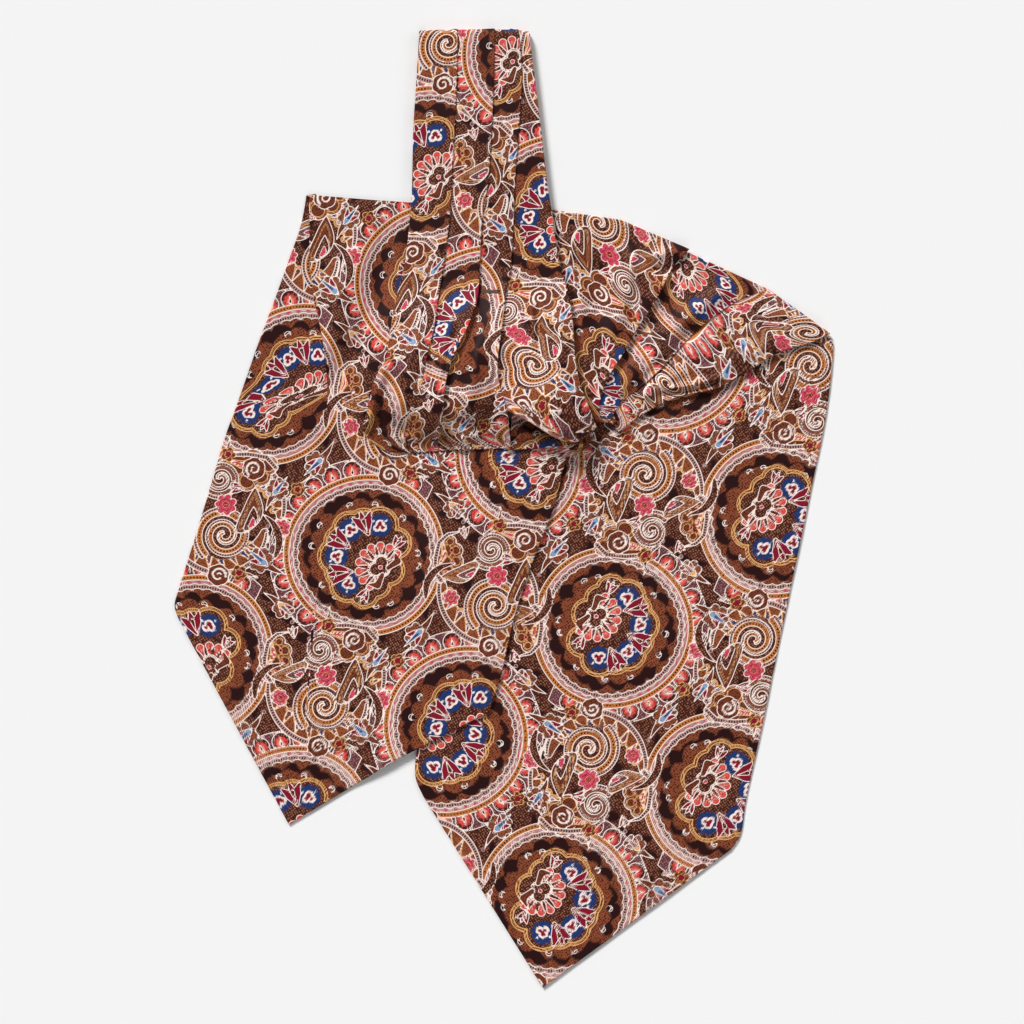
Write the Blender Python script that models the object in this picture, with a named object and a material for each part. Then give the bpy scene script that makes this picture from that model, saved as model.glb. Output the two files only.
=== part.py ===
# A silk day cravat laid flat on a surface.
# The pleated neckband is folded in half into a loop at the top. Each half of the cloth opens out
# of it as a gathered fan, and ends in a wide pointed blade. The left blade lies over the right one.
#
# Metres, +Z up, +Y from the blade points to the neckband loop, +X to the right of someone who
# looks down on it. The origin is the centre of the base. Tables are in millimetres, as a tailor
# measures the flat garment, and are turned to metres when a mesh is made.

import bpy
import bmesh
import numpy as np
from math import hypot, pi, sin

MM = 0.001

# driving sizes, in millimetres
BLADE_WALL = 1.4        # two layers of twill and their turnings
LAYER = 1.85            # what one layer beneath lifts the next one by, its gap included
EASE = 0.25             # extra room under the gathered layers
BAND_WALL = 1.6         # pleated front stretch of the neckband at the foot of a pleat
BAND_BACK = 2.6         # rear stretch, with its hidden pleats
BAND_SEAT = 2.95        # underside of the front stretch
GATHER_WALL = 1.6
UNDER_WALL = 1.2
SEAM = 0.35             # gap at a seam, and the run of a pleat's step
LOOP_NOSE = 3.0         # depth of the rounded fold at the top of the loop
HEAP = 7.5              # height of the hidden folds under the transverse fold
RAISED_PLEAT = 4.5      # how far the right-hand pleat stands off the layers beneath it

# where the hidden folds lie: zero height, full height, full height, zero height
HEAP_X = (-70, -32, 24, 62)
HEAP_Y = (26, 50, 60, 118)
LIFTED_SHARE = 0.5      # share of the heap's height at which a full layer lies beneath

# edges of the right blade that the other pieces climb over
BLADE_CORNER = (-9, 36)
BLADE_TOP_END = (156, 82.2)
BLADE_LEFT_END = (-42, -118)
CLIMB = (9, 30)         # distance from such an edge at which a piece is up, and is down again
BAND_EASE = (84, 102)   # where the left gather comes level with the neckband

# Outlines and fold lines. Each row is one section across the piece, and each column is one line
# that runs along it, from the loop towards the points. A rise is how high the cloth stands at a fold.
# Where it is negative, the cloth to the right of the line lies over the cloth to the left of it.

NECKBAND_FRONT = (
    # left edge       pleat 1         pleat 2         pleat 3        right edge     rise at each line
    ((-39.3, 226.4), (-22.3, 226.9), (-4.7, 227.0), (6.6, 226.6), (11.4, 225.5), (0.7, 0.7, 0.7, 0.4)),
    ((-40.7, 203.0), (-22.7, 203.0), (-5.2, 203.0), (8.1, 203.0), (14.2, 203.0), (1.1, 1.1, 1.1, 0.4)),
    ((-42.2, 179.0), (-23.7, 179.0), (-6.2, 179.0), (6.6, 179.0), (17.1, 179.0), (1.1, 1.2, 1.1, 0.5)),
    ((-42.8, 152.5), (-25.1, 152.5), (-8.1, 152.5), (4.7, 152.5), (20.2, 152.5), (1.1, 1.2, 1.1, 0.7)),
    ((-43.6, 139.0), (-25.8, 139.0), (-10.4, 139.0), (4.3, 139.0), (22.3, 139.0), (1.1, 1.2, 1.1, 0.9)),
    ((-46.2, 116.5), (-28.7, 116.5), (-11.8, 116.5), (3.0, 116.5), (25.6, 116.5), (1.1, 1.3, 1.2, 1.1)),
)

NECKBAND_BACK = (
    # left edge       right edge
    ((-39.3, 226.4), (11.4, 225.5)),
    ((-36.8, 203.0), (9.8, 203.0)),
    ((-36.8, 160.0), (12.6, 160.0)),
    ((-37.5, 104.0), (16.5, 104.0)),
)

LEFT_GATHER = (
    # left edge       pleat 1         pleat 2         pleat 3        rise at each pleat
    ((-46.2, 116.1), (-28.7, 116.1), (-11.8, 116.1), (3.0, 116.1), (1.1, 1.3, 1.2)),
    ((-49.7, 101.8), (-31.3, 100.0), (-12.8, 99.0), (0.5, 100.9), (1.1, 1.5, 1.3)),
    ((-52.6, 86.7), (-33.2, 85.7), (-17.5, 85.3), (-1.4, 84.3), (0.9, 1.9, 1.5)),
    ((-55.4, 70.1), (-36.5, 71.1), (-24.6, 70.1), (-3.3, 68.7), (0.4, 2.6, 1.8)),
    ((-60.6, 59.7), (-38.8, 57.3), (-27.9, 57.8), (-2.4, 57.8), (0.1, 3.0, 2.0)),
    ((-63.9, 45.5), (-42.2, 44.1), (-28.9, 45.5), (0.9, 46.4), (0.0, 2.2, 2.0)),
    ((-65.8, 35.1), (-45.0, 32.2), (-31.3, 33.6), (2.4, 34.0), (0.0, 1.2, 1.4)),
    ((-54.9, 26.1), (-44.5, 25.1), (-31.7, 26.1), (2.8, 27.5), (0.0, 0.6, 0.6)),
)

RAISED_PLEAT_LINES = (
    # left edge       middle          right edge      rise
    ((3.4, 116.1), (14.4, 116.1), (25.6, 116.1), (0.0, 1.1)),
    ((0.9, 100.9), (15.5, 101.0), (30.3, 100.0), (0.6, 1.1)),
    ((-1.0, 84.3), (15.6, 84.5), (32.2, 84.3), (0.9, 1.3)),
    ((-2.9, 68.7), (15.0, 69.0), (33.2, 69.2), (0.6, 1.5)),
    ((-2.0, 57.8), (17.0, 56.0), (35.5, 57.8), (0.2, 1.6)),
    ((0.9, 50.5), (20.5, 44.0), (39.5, 47.5), (0.0, 1.0)),
    ((1.4, 46.4), (25.5, 33.5), (43.1, 38.4), (0.0, 0.3)),
)

UNDER_FOLD = (
    # left end        middle          right end
    ((4.0, 49.0), (22.0, 43.5), (38.0, 45.0)),
    ((2.8, 27.5), (22.0, 29.0), (41.5, 31.5)),
)

RIGHT_GATHER = (
    # beneath band    middle          pleat 4         crease           lip             rise at each line
    ((18.3, 141.5), (54.9, 136.2), (89.1, 122.2), (125.5, 103.6), (155.4, 82.4), (0.0, 1.5, 0.0, 0.2)),
    ((20.7, 127.9), (51.2, 124.1), (79.1, 114.2), (109.4, 97.6), (144.0, 78.2), (0.0, 1.6, 0.3, 0.4)),
    ((24.5, 110.4), (49.3, 106.1), (71.5, 98.5), (93.8, 86.7), (128.8, 73.4), (0.0, 1.7, 1.0, 0.6)),
    ((28.3, 91.4), (47.4, 89.1), (62.5, 84.8), (83.4, 76.3), (114.2, 64.4), (0.0, 1.9, 1.3, 0.6)),
    ((29.2, 76.7), (44.1, 75.3), (55.9, 72.9), (74.8, 66.8), (100.0, 56.8), (0.0, 2.0, 1.4, 0.6)),
    ((31.6, 61.6), (41.7, 61.1), (48.3, 60.6), (64.4, 57.2), (81.5, 52.6), (0.0, 1.6, 1.2, 0.5)),
    ((35.4, 49.7), (41.2, 50.2), (45.1, 50.2), (55.5, 50.3), (66.8, 45.5), (0.0, 0.6, 0.7, 0.3)),
    ((39.6, 39.8), (42.5, 40.2), (45.5, 40.6), (49.5, 40.4), (54.0, 36.5), (0.0, 0.1, 0.2, 0.1)),
)

LEFT_BLADE = (
    # left edge        fold            middle           right edge      rise at each line
    ((-93.0, 149.0), (-92.4, 149.7), (-66.0, 146.4), (-40.0, 144.6), (0.0, -0.3, 0.0)),
    ((-96.0, 134.0), (-91.9, 135.5), (-66.0, 133.0), (-40.5, 131.0), (0.0, -0.9, 0.0)),
    ((-101.4, 118.0), (-91.7, 117.5), (-67.0, 117.0), (-43.0, 116.0), (0.0, -1.2, 0.0)),
    ((-108.0, 99.5), (-89.7, 99.5), (-67.5, 100.0), (-46.0, 101.0), (0.0, -1.2, 0.0)),
    ((-115.5, 79.5), (-85.5, 79.5), (-67.5, 81.5), (-49.5, 83.0), (0.0, -1.0, 0.0)),
    ((-121.8, 61.5), (-83.8, 61.5), (-68.0, 64.5), (-52.5, 67.0), (0.0, -0.5, 0.0)),
    ((-127.3, 46.0), (-84.0, 45.0), (-70.0, 46.5), (-59.0, 47.5), (0.0, 0.0, 0.0)),
    ((-131.5, 34.5), (-85.0, 32.0), (-64.0, 31.5), (34.0, 33.0), (0.0, 0.0, 0.0)),
    ((-134.8, 23.5), (-85.7, 20.0), (-50.0, 18.0), (28.4, 21.0), (0.0, 0.0, 0.0)),
    ((-142.6, -2.8), (-88.0, -11.0), (-42.0, -10.0), (23.0, 0.0), (0.0, 0.0, 0.0)),
    ((-149.0, -23.5), (-91.5, -46.0), (-41.0, -38.0), (14.5, -22.0), (0.0, 0.0, 0.0)),
    ((-153.8, -38.5), (-95.5, -92.0), (-44.0, -76.0), (5.0, -50.0), (0.0, 0.0, 0.0)),
    ((-156.0, -46.5), (-99.0, -128.0), (-47.0, -102.5), (-1.5, -78.0), (0.0, 0.0, 0.0)),
    ((-154.6, -52.0), (-102.0, -149.7), (-50.0, -118.3), (-7.5, -96.5), (0.0, 0.0, 0.0)),
)

RIGHT_BLADE = (
    # left edge        axis            right edge
    ((-9.0, 36.0), (72.0, 58.7), (156.0, 82.2)),
    ((-13.0, 17.0), (66.0, 27.0), (152.3, 44.0)),
    ((-17.2, -2.5), (60.0, -6.0), (146.0, 12.5)),
    ((-23.2, -30.5), (52.0, -50.0), (137.4, -29.0)),
    ((-29.2, -58.5), (44.0, -95.0), (128.7, -71.0)),
    ((-35.4, -87.5), (35.5, -140.0), (120.3, -111.0)),
    ((-40.4, -112.0), (27.5, -183.0), (114.6, -137.5)),
    ((-41.8, -127.0), (22.0, -210.0), (112.0, -154.5)),
    ((-38.4, -136.5), (18.5, -227.0), (107.5, -162.0)),
)

# middle of the hidden core, and its half length and half width
CORE_MIDDLE = (-3, 69)
CORE_HALF = (41, 29)
CORE_SEAT = 1.9
CORE_SEGMENTS = 28
CORE_RINGS = 10

PRINT_BROWN = (0.085, 0.034, 0.022, 1.0)
SILK_ROUGHNESS = 0.46


def ramp(start, end, value):
    """Smooth step from 0 at start to 1 at end; start may be the larger one."""
    share = min(max((value - start) / (end - start), 0.0), 1.0)
    return share * share * (3 - 2 * share)


def heap(x, y):
    """Height of the hidden folds at a point."""
    across = ramp(HEAP_X[0], HEAP_X[1], x) * ramp(HEAP_X[3], HEAP_X[2], x)
    along = ramp(HEAP_Y[0], HEAP_Y[1], y) * ramp(HEAP_Y[3], HEAP_Y[2], y)
    return HEAP * across * along


def beyond(start, end, x, y):
    """Distance of a point from the line through start and end, positive on the left of it."""
    run, climb = end[0] - start[0], end[1] - start[1]
    return (run * (y - start[1]) - climb * (x - start[0])) / hypot(run, climb)


def layers_beneath(x, y):
    """Share of one layer that lies beneath: the right blade or the hidden folds."""
    off_top = beyond(BLADE_CORNER, BLADE_TOP_END, x, y)
    off_left = beyond(BLADE_LEFT_END, BLADE_CORNER, x, y)
    on_blade = ramp(CLIMB[1], CLIMB[0], max(off_top, off_left))
    return max(on_blade, ramp(0, LIFTED_SHARE, heap(x, y) / HEAP))


def on_floor(x, y):
    return 0.0


def on_one_layer(x, y):
    return heap(x, y) + LAYER * layers_beneath(x, y)


def on_two_layers(x, y):
    """Underside of the left gather: one layer up on the left blade, and level with the neckband's."""
    one_up = on_one_layer(x, y) + LAYER + EASE
    return max(one_up, BAND_SEAT * ramp(BAND_EASE[0], BAND_EASE[1], y))


def on_back_band(x, y):
    return BAND_SEAT


def along_line(points, share):
    """Point on the smooth line through points, at a share of its rows."""
    place = share * (len(points) - 1)
    first = min(int(place), len(points) - 2)
    t = place - first
    p = [np.array(points[min(max(first + k, 0), len(points) - 1)], float) for k in (-1, 0, 1, 2)]
    bend = 2 * p[0] - 5 * p[1] + 4 * p[2] - p[3]
    return p[1] + 0.5 * t * (p[2] - p[0] + t * (bend + t * (3 * (p[1] - p[2]) + p[3] - p[0])))


def sections(lines, rows, cells):
    """Sections across a piece: for each, its points with the share of a pleat's rise that each has.

    lines are the columns of a table, and cells is how many cells lie between each pair of them.
    A pleat starts at the foot, SEAM beyond the fold that covers it, and climbs to its own fold.
    """
    result = []
    for row in range(rows + 1):
        share = row / rows
        places = [along_line(line, share) for line in lines]
        section = []
        for j, count in enumerate(cells):
            start, end = places[j], places[j + 1]
            toward = (end - start) / max(np.linalg.norm(end - start), 1e-6)
            foot = start + SEAM * toward if j else start
            for k in range(count + 1):
                u = k / count
                section.append((foot + (end - foot) * u, j, u))
        result.append((share, section))
    return result


def closed_mesh(name, low, high):
    """A closed wall between two grids of points that have the same rows and columns."""
    rows, cols = len(low), len(low[0])
    size = rows * cols
    points = [p for grid in (high, low) for line in grid for p in line]

    def at(layer, i, j):
        return layer * size + i * cols + j

    faces = []
    for i in range(rows - 1):
        for j in range(cols - 1):
            faces.append([at(0, i, j), at(0, i + 1, j), at(0, i + 1, j + 1), at(0, i, j + 1)])
            faces.append([at(1, i, j), at(1, i, j + 1), at(1, i + 1, j + 1), at(1, i + 1, j)])
    rim = [(0, j) for j in range(cols)]
    rim += [(i, cols - 1) for i in range(1, rows)]
    rim += [(rows - 1, j) for j in range(cols - 2, -1, -1)]
    rim += [(i, 0) for i in range(rows - 2, 0, -1)]
    for here, there in zip(rim, rim[1:] + rim[:1]):
        faces.append([at(0, *here), at(0, *there), at(1, *there), at(1, *here)])
    mesh = bpy.data.meshes.new(name)
    mesh.from_pydata([tuple(c * MM for c in p) for p in points], [], faces)
    shaped = bmesh.new()
    shaped.from_mesh(mesh)
    bmesh.ops.recalc_face_normals(shaped, faces=shaped.faces)
    shaped.to_mesh(mesh)
    shaped.free()
    return mesh


def add_piece(name, mesh, group, roughness=SILK_ROUGHNESS):
    """The named sub-part, in the cravat's collection, with a material of its own."""
    finish = bpy.data.materials.new(name)
    finish.use_nodes = True
    shader = finish.node_tree.nodes["Principled BSDF"]
    shader.inputs["Base Color"].default_value = PRINT_BROWN
    shader.inputs["Roughness"].default_value = roughness
    shader.inputs["Metallic"].default_value = 0.0
    mesh.materials.append(finish)
    mesh.shade_smooth()
    mesh.set_sharp_from_angle(angle=pi / 5)
    piece = bpy.data.objects.new(name, mesh)
    group.objects.link(piece)
    return piece


def cloth_panel(name, table, rows, cells, seat, wall, group, lift=None, nose=None):
    """A panel of cloth that lies on seat(x, y), with its pleats from the table.

    lift(share, across) raises the whole wall, and nose(x, y) is how much of its height is left.
    """
    columns = list(zip(*table))
    lines = columns[:len(cells) + 1]
    flat = (0.0,) * len(cells)
    rises = columns[-1] if len(columns) > len(lines) else [flat] * len(table)
    low, high = [], []
    for share, section in sections(lines, rows, cells):
        rise = along_line(rises, share)
        count = len(section) - 1
        under, over = [], []
        for k, (place, j, u) in enumerate(section):
            x, y = float(place[0]), float(place[1])
            base = seat(x, y)
            if lift:
                base += lift(share, k / count)
            run = u if rise[j] > 0 else 1 - u
            top = base + wall + abs(float(rise[j])) * run ** 1.3
            if nose:
                base, top = nose(y, base, top)
            under.append((x, y, base))
            over.append((x, y, top))
        low.append(under)
        high.append(over)
    return add_piece(name, closed_mesh(name, low, high), group)


def front_nose(y, base, top):
    """Rounds the front stretch down into the loop's fold."""
    depth = min(max((227.0 - y) / LOOP_NOSE, 0.0), 1.0)
    return base, base + (top - base) * max((1 - (1 - depth) ** 2) ** 0.5, 0.25)


def back_nose(y, base, top):
    """Rounds the rear stretch up into the loop's fold."""
    depth = min(max((227.0 - y) / LOOP_NOSE, 0.0), 1.0)
    return top - (top - base) * max((1 - (1 - depth) ** 2) ** 0.5, 0.25), top


def raised(share, across):
    """The right-hand pleat stands off what lies beneath it, most in the middle of its lower edge."""
    return RAISED_PLEAT * ramp(0.5, 0.9, share) * (0.45 + 0.55 * sin(pi * across))


def hidden_core(group):
    """The folded layers that nothing shows, as one rounded solid under the gathers."""
    shaped = bmesh.new()
    bmesh.ops.create_uvsphere(
        shaped, u_segments=CORE_SEGMENTS, v_segments=CORE_RINGS, radius=1.0
    )
    for vert in shaped.verts:
        x = CORE_MIDDLE[0] + CORE_HALF[0] * vert.co.x
        y = CORE_MIDDLE[1] + CORE_HALF[1] * vert.co.y
        top = on_one_layer(x, y) - 0.5
        middle = CORE_SEAT + 0.5 * (top - CORE_SEAT)
        height = middle + (top - middle) * max(min(vert.co.z * 1.6, 1), -1)
        vert.co = (x * MM, y * MM, height * MM)
    mesh = bpy.data.meshes.new("folded_core")
    shaped.to_mesh(mesh)
    shaped.free()
    return add_piece("folded_core", mesh, group)


def build():
    for old in list(bpy.data.objects):
        bpy.data.objects.remove(old, do_unlink=True)
    group = bpy.data.collections.new("silk_cravat")
    bpy.context.scene.collection.children.link(group)
    cloth_panel("right_blade", RIGHT_BLADE, 16, (7, 8), on_floor, BLADE_WALL, group)
    cloth_panel("left_blade", LEFT_BLADE, 30, (4, 4, 9), on_one_layer, BLADE_WALL, group)
    cloth_panel("neckband_back", NECKBAND_BACK, 14, (6,), on_floor, BAND_BACK, group, nose=back_nose)
    cloth_panel("neckband_front", NECKBAND_FRONT, 22, (3, 3, 3, 3), on_back_band, BAND_WALL, group,
                nose=front_nose)
    cloth_panel("right_gather", RIGHT_GATHER, 18, (4, 5, 5, 5), on_one_layer, BLADE_WALL, group)
    hidden_core(group)
    cloth_panel("left_under_fold", UNDER_FOLD, 4, (4, 4), on_two_layers, UNDER_WALL, group)
    cloth_panel("left_raised_pleat", RAISED_PLEAT_LINES, 18, (4, 4), on_two_layers, GATHER_WALL, group,
                lift=raised)
    cloth_panel("left_gather", LEFT_GATHER, 24, (4, 4, 6), on_two_layers, GATHER_WALL, group)


build()
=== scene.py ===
# A silk day cravat laid flat: pleated neckband in a loop, gathered fans, two pointed blades.
import bmesh
import bpy
import numpy as np
from math import cos, hypot, pi, sin, sqrt
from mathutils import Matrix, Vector


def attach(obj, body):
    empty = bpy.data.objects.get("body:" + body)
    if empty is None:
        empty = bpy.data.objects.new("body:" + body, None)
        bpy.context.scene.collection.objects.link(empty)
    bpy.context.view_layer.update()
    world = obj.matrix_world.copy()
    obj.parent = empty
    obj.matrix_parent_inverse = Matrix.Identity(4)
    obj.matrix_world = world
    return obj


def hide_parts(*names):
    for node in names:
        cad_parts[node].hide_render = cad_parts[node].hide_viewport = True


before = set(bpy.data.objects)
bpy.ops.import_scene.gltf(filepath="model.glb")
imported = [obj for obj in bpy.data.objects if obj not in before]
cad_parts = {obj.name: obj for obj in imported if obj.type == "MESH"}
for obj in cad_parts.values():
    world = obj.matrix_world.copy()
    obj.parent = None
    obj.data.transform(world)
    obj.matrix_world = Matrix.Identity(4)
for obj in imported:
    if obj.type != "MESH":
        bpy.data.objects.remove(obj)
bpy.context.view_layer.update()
mm = 0.001

# the laid layers as the solids have them, in millimetres
layers = {
    "bladeWall": 1.4,            # two layers of twill with their turnings
    "layer": 1.85,               # step up where cloth lies on the right blade
    "ease": 0.25,
    "bandSeat": 2.95,            # top of the neckband's rear stretch
    "gatherWall": 1.6,
    "underWall": 1.2,
    "lowest": 0.03,              # no cloth comes nearer to the table
    "heap": 7.5,                 # hidden folds beneath both gathers
    "heapX": (-70, -32, 24, 62),     # foot, top, top and foot of the heap
    "heapY": (26, 50, 60, 118),
    "liftedShare": 0.5,          # share of the heap's height where cloth has left the floor
    "corner": (-9, 36),          # two edges of the right blade, which meet at this corner
    "topEnd": (156, 82.2),
    "leftEnd": (-42, -118),
    "climb": (9, 30),            # cloth comes down to the floor this far past those edges
    "bandEase": (84, 102),       # the front stretch settles onto the rear one between these places
    "raisedPleat": 4.5,          # how far the band's last pleat stands off the rest
}


def ramp(start, end, value):
    # soft step from 0 at start to 1 at end
    share = np.clip((value - start) / (end - start), 0.0, 1.0)
    return share * share * (3 - 2 * share)


def heapHeight(x, y):
    hx, hy = layers["heapX"], layers["heapY"]
    across = ramp(hx[0], hx[1], x) * ramp(hx[3], hx[2], x)
    return layers["heap"] * across * ramp(hy[0], hy[1], y) * ramp(hy[3], hy[2], y)


def beyondLine(start, end, x, y):
    # distance to the left of a line
    run, climb = end[0] - start[0], end[1] - start[1]
    return (run * (y - start[1]) - climb * (x - start[0])) / hypot(run, climb)


# what a stretch of cloth lies on
def onFloor(x, y):
    return np.zeros(np.shape(x))


def onOneLayer(x, y):
    heap = heapHeight(x, y)
    offTop = beyondLine(layers["corner"], layers["topEnd"], x, y)
    offLeft = beyondLine(layers["leftEnd"], layers["corner"], x, y)
    onBlade = ramp(layers["climb"][1], layers["climb"][0], np.maximum(offTop, offLeft))
    lifted = np.maximum(onBlade, ramp(0, layers["liftedShare"], heap / layers["heap"]))
    return heap + layers["layer"] * lifted


def onTwoLayers(x, y):
    oneUp = onOneLayer(x, y) + layers["layer"] + layers["ease"]
    return np.maximum(oneUp, layers["bandSeat"] * ramp(*layers["bandEase"], y))


# the printed pattern, drawn in the flat cloth's own millimetres
silk = {
    "repeat": 94.0,        # side of the square repeat
    "outline": 0.19,       # half the width of the pale outlines
    "dotPitch": 1.12,
    "lineReach": 0.62,     # no outline is drawn farther from an edge than this
    "beadReach": 0.7,      # beads are counted this far past the edge of their band
    "black": "#280a0b",
    "brown": "#42170f",
    "umber": "#763822",
    "amber": "#944e2e",
    "bronze": "#8a472c",
    "orange": "#c87a3e",
    "gold": "#eab070",
    "cream": "#ffece2",
    "crimson": "#861029",
    "coral": "#dd4a40",
    "blush": "#ee8574",
    "rose": "#cb3558",
    "blue": "#1d3a74",
    "paleBlue": "#86a6c6",
    "mauve": "#b48c86",
    "tan": "#a06c52",
    "plum": "#64323a",
}

# kinds of patch: colour, ink of the fine dots and how strong they are, and for a beaded band
# the ink, spacing and size of its beads, and how tall they are
patches = {
    "ground": dict(fill="brown", dot="tan", dots=0.8),
    "night": dict(fill="black", dot="tan", dots=0.0),
    "umber": dict(fill="umber", dot="black", dots=0.8),
    "amber": dict(fill="amber", dot="black", dots=0.75),
    "leafy": dict(fill="bronze", dot="black", dots=0.95),
    "orange": dict(fill="orange", dot="black", dots=0.8),
    "honey": dict(fill="gold", dot="umber", dots=0.0),
    "brownPlain": dict(fill="brown", dot="tan", dots=0.0),
    "plum": dict(fill="plum", dot="mauve", dots=0.5),
    "crimson": dict(fill="crimson", dot="black", dots=0.0),
    "coral": dict(fill="coral", dot="crimson", dots=0.0),
    "blush": dict(fill="blush", dot="crimson", dots=0.0),
    "rose": dict(fill="rose", dot="blush", dots=0.45),
    "blue": dict(fill="blue", dot="black", dots=0.55),
    "paleBlue": dict(fill="paleBlue", dot="blue", dots=0.3),
    "cream": dict(fill="cream", dot="cream", dots=0.0),
    "ticked": dict(fill="mauve", dot="black", dots=0.0, bead="black", pitch=1.25, size=0.36, tall=0.62),
    "frost": dict(fill="mauve", dot="black", dots=0.0, bead="brown", pitch=1.25, size=0.36, tall=0.5),
    "studded": dict(fill="orange", dot="black", dots=0.0, bead="black", pitch=1.5, size=0.45, tall=0.5),
    "pearled": dict(fill="umber", dot="black", dots=0.0, bead="tan", pitch=1.35, size=0.42, tall=0.45),
    "blushed": dict(fill="mauve", dot="black", dots=0.0, bead="rose", pitch=4.6, size=1.2, tall=0.55),
}


def linearColour(hexText):
    parts = [int(hexText[k:k + 2], 16) / 255 for k in (1, 3, 5)]
    return [c / 12.92 if c <= 0.04045 else ((c + 0.055) / 1.055) ** 2.4 for c in parts]


def newPrint(p, q):
    # what each point holds: colours with the strength of dots and beads, distance to the nearest
    # outline and its ink, places along and across a beaded band, and how tall its beads are
    n = len(p)
    return {"p": p, "q": q, "fill": np.zeros((n, 3)), "dot": np.zeros((n, 4)), "bead": np.zeros((n, 4)),
            "line": np.full(n, 9.0), "ink": np.zeros((n, 3)), "along": np.zeros(n),
            "across": np.zeros(n), "tall": np.ones(n)}


def nearCopy(cloth, centre, turn, reach):
    # points near a motif in the endless repeat, with their places on the motif
    side = silk["repeat"]
    dx = (cloth["p"] - centre[0] + side / 2) % side - side / 2
    dy = (cloth["q"] - centre[1] + side / 2) % side - side / 2
    near = np.nonzero(dx * dx + dy * dy < reach * reach)[0]
    dx, dy = dx[near], dy[near]
    return near, dx * cos(turn) + dy * sin(turn), dy * cos(turn) - dx * sin(turn)


def paint(cloth, near, depth, kind, ink="cream", along=None, across=None, weight=1.0):
    # a patch where depth is below zero, with an outline along its edge
    style = patches[kind]
    inside = depth < 0
    spot = near[inside]
    cloth["fill"][spot] = linearColour(silk[style["fill"]])
    cloth["dot"][spot] = linearColour(silk[style["dot"]]) + [style["dots"]]
    cloth["bead"][spot] = 0.0
    if "bead" in style:
        cloth["bead"][spot] = linearColour(silk[style["bead"]]) + [1.0]
        close = depth < silk["beadReach"]
        cloth["along"][near[close]] = along[close] * (pi / style["pitch"])
        cloth["across"][near[close]] = across[close] / style["tall"]
        cloth["tall"][near[close]] = style["size"] * pi / style["pitch"]
    gap = depth / weight
    closer = inside | (np.abs(gap) < np.abs(cloth["line"][near]))
    spot = near[closer]
    cloth["line"][spot] = gap[closer]
    cloth["ink"][spot] = linearColour(silk[ink])


def alongCurve(x, y, points, widths):
    # distance to a band that runs through points, and places along and across it
    best = np.full(len(x), 1e9)
    along, across = np.zeros(len(x)), np.zeros(len(x))
    run = 0.0
    for (ax, ay), (bx, by), wa, wb in zip(points[:-1], points[1:], widths[:-1], widths[1:]):
        ex, ey = bx - ax, by - ay
        length = hypot(ex, ey)
        t = np.clip(((x - ax) * ex + (y - ay) * ey) / length ** 2, 0, 1)
        gx, gy = x - ax - t * ex, y - ay - t * ey
        depth = np.hypot(gx, gy) - (wa + (wb - wa) * t)
        closer = depth < best
        best[closer] = depth[closer]
        along[closer] = run + t[closer] * length
        across[closer] = ((ex * gy - ey * gx) / length)[closer]
        run += length
    return best, along, across


def insideLoop(x, y, points):
    # distance to a closed outline, below zero inside
    best = np.full(len(x), 1e9)
    inside = np.zeros(len(x), bool)
    for (ax, ay), (bx, by) in zip(points, points[1:] + points[:1]):
        ex, ey = bx - ax, by - ay
        t = np.clip(((x - ax) * ex + (y - ay) * ey) / (ex * ex + ey * ey), 0, 1)
        best = np.minimum(best, np.hypot(x - ax - t * ex, y - ay - t * ey))
        crosses = (ay > y) != (by > y)
        if ey:
            inside ^= crosses & (x < ax + (y - ay) * ex / ey)
    return np.where(inside, -best, best)


def circles(x, y, rounds):
    return np.minimum.reduce([np.hypot(x - a, y - b) - c for a, b, c in rounds])


def scallops(x, y, radius, count, depth, phase=0.0):
    angle = np.arctan2(y, x) + phase
    return np.hypot(x, y) - radius - depth * (np.abs(np.sin(angle * count / 2)) ** 0.8 - 0.5)


def teardrop(x, y, length, width):
    r = width / 2
    return alongCurve(x, y, [(0, 0), (0, 0.55 * length), (0, length - r)], [0.05, 0.62 * r, r])[0]


def around(centre, radius, angle):
    return (centre[0] + radius * cos(angle), centre[1] + radius * sin(angle))


def tulip(cloth, centre, turn, size, kind="crimson", heart=True):
    # a flaring cup of three points, with a dotted drop inside
    near, x, y = nearCopy(cloth, centre, turn, size * 1.7)
    cup = []
    for lean, tall in ((-0.42, 0.92), (0.0, 1.06), (0.42, 0.92)):
        path = [(0, 0), (lean * size * 0.35, size * 0.55), (lean * size, size * tall)]
        cup.append(alongCurve(x, y, path, [size * 0.06, size * 0.22, size * 0.05])[0])
    paint(cloth, near, np.minimum.reduce(cup), kind, weight=0.9)
    if heart:
        paint(cloth, near, teardrop(x, y - 0.12 * size, size * 0.62, size * 0.2), "ground", weight=0.8)


def blueFlower(cloth, centre, turn, size):
    near, x, y = nearCopy(cloth, centre, turn, size * 1.8)
    paint(cloth, near, scallops(x, y, size, 10, size * 0.16), "blue", ink="black", weight=0.5)
    lobes = [(0, 0.12, 0.34), (0.26, -0.2, 0.28), (-0.26, -0.2, 0.28)]
    body = circles(x / size, y / size, lobes) * size
    paint(cloth, near, body - 0.2, "cream", weight=0.7)
    hearts = [(0, 0.14, 0.24), (0.23, -0.17, 0.19), (-0.23, -0.17, 0.19)]
    paint(cloth, near, circles(x / size, y / size, hearts) * size, "crimson", weight=0.5)
    for a, b in ((0.55, 0.42), (-0.55, 0.42)):
        paint(cloth, near, np.hypot(x - a * size, y - b * size) - 0.45, "paleBlue", weight=0.6)


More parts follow.
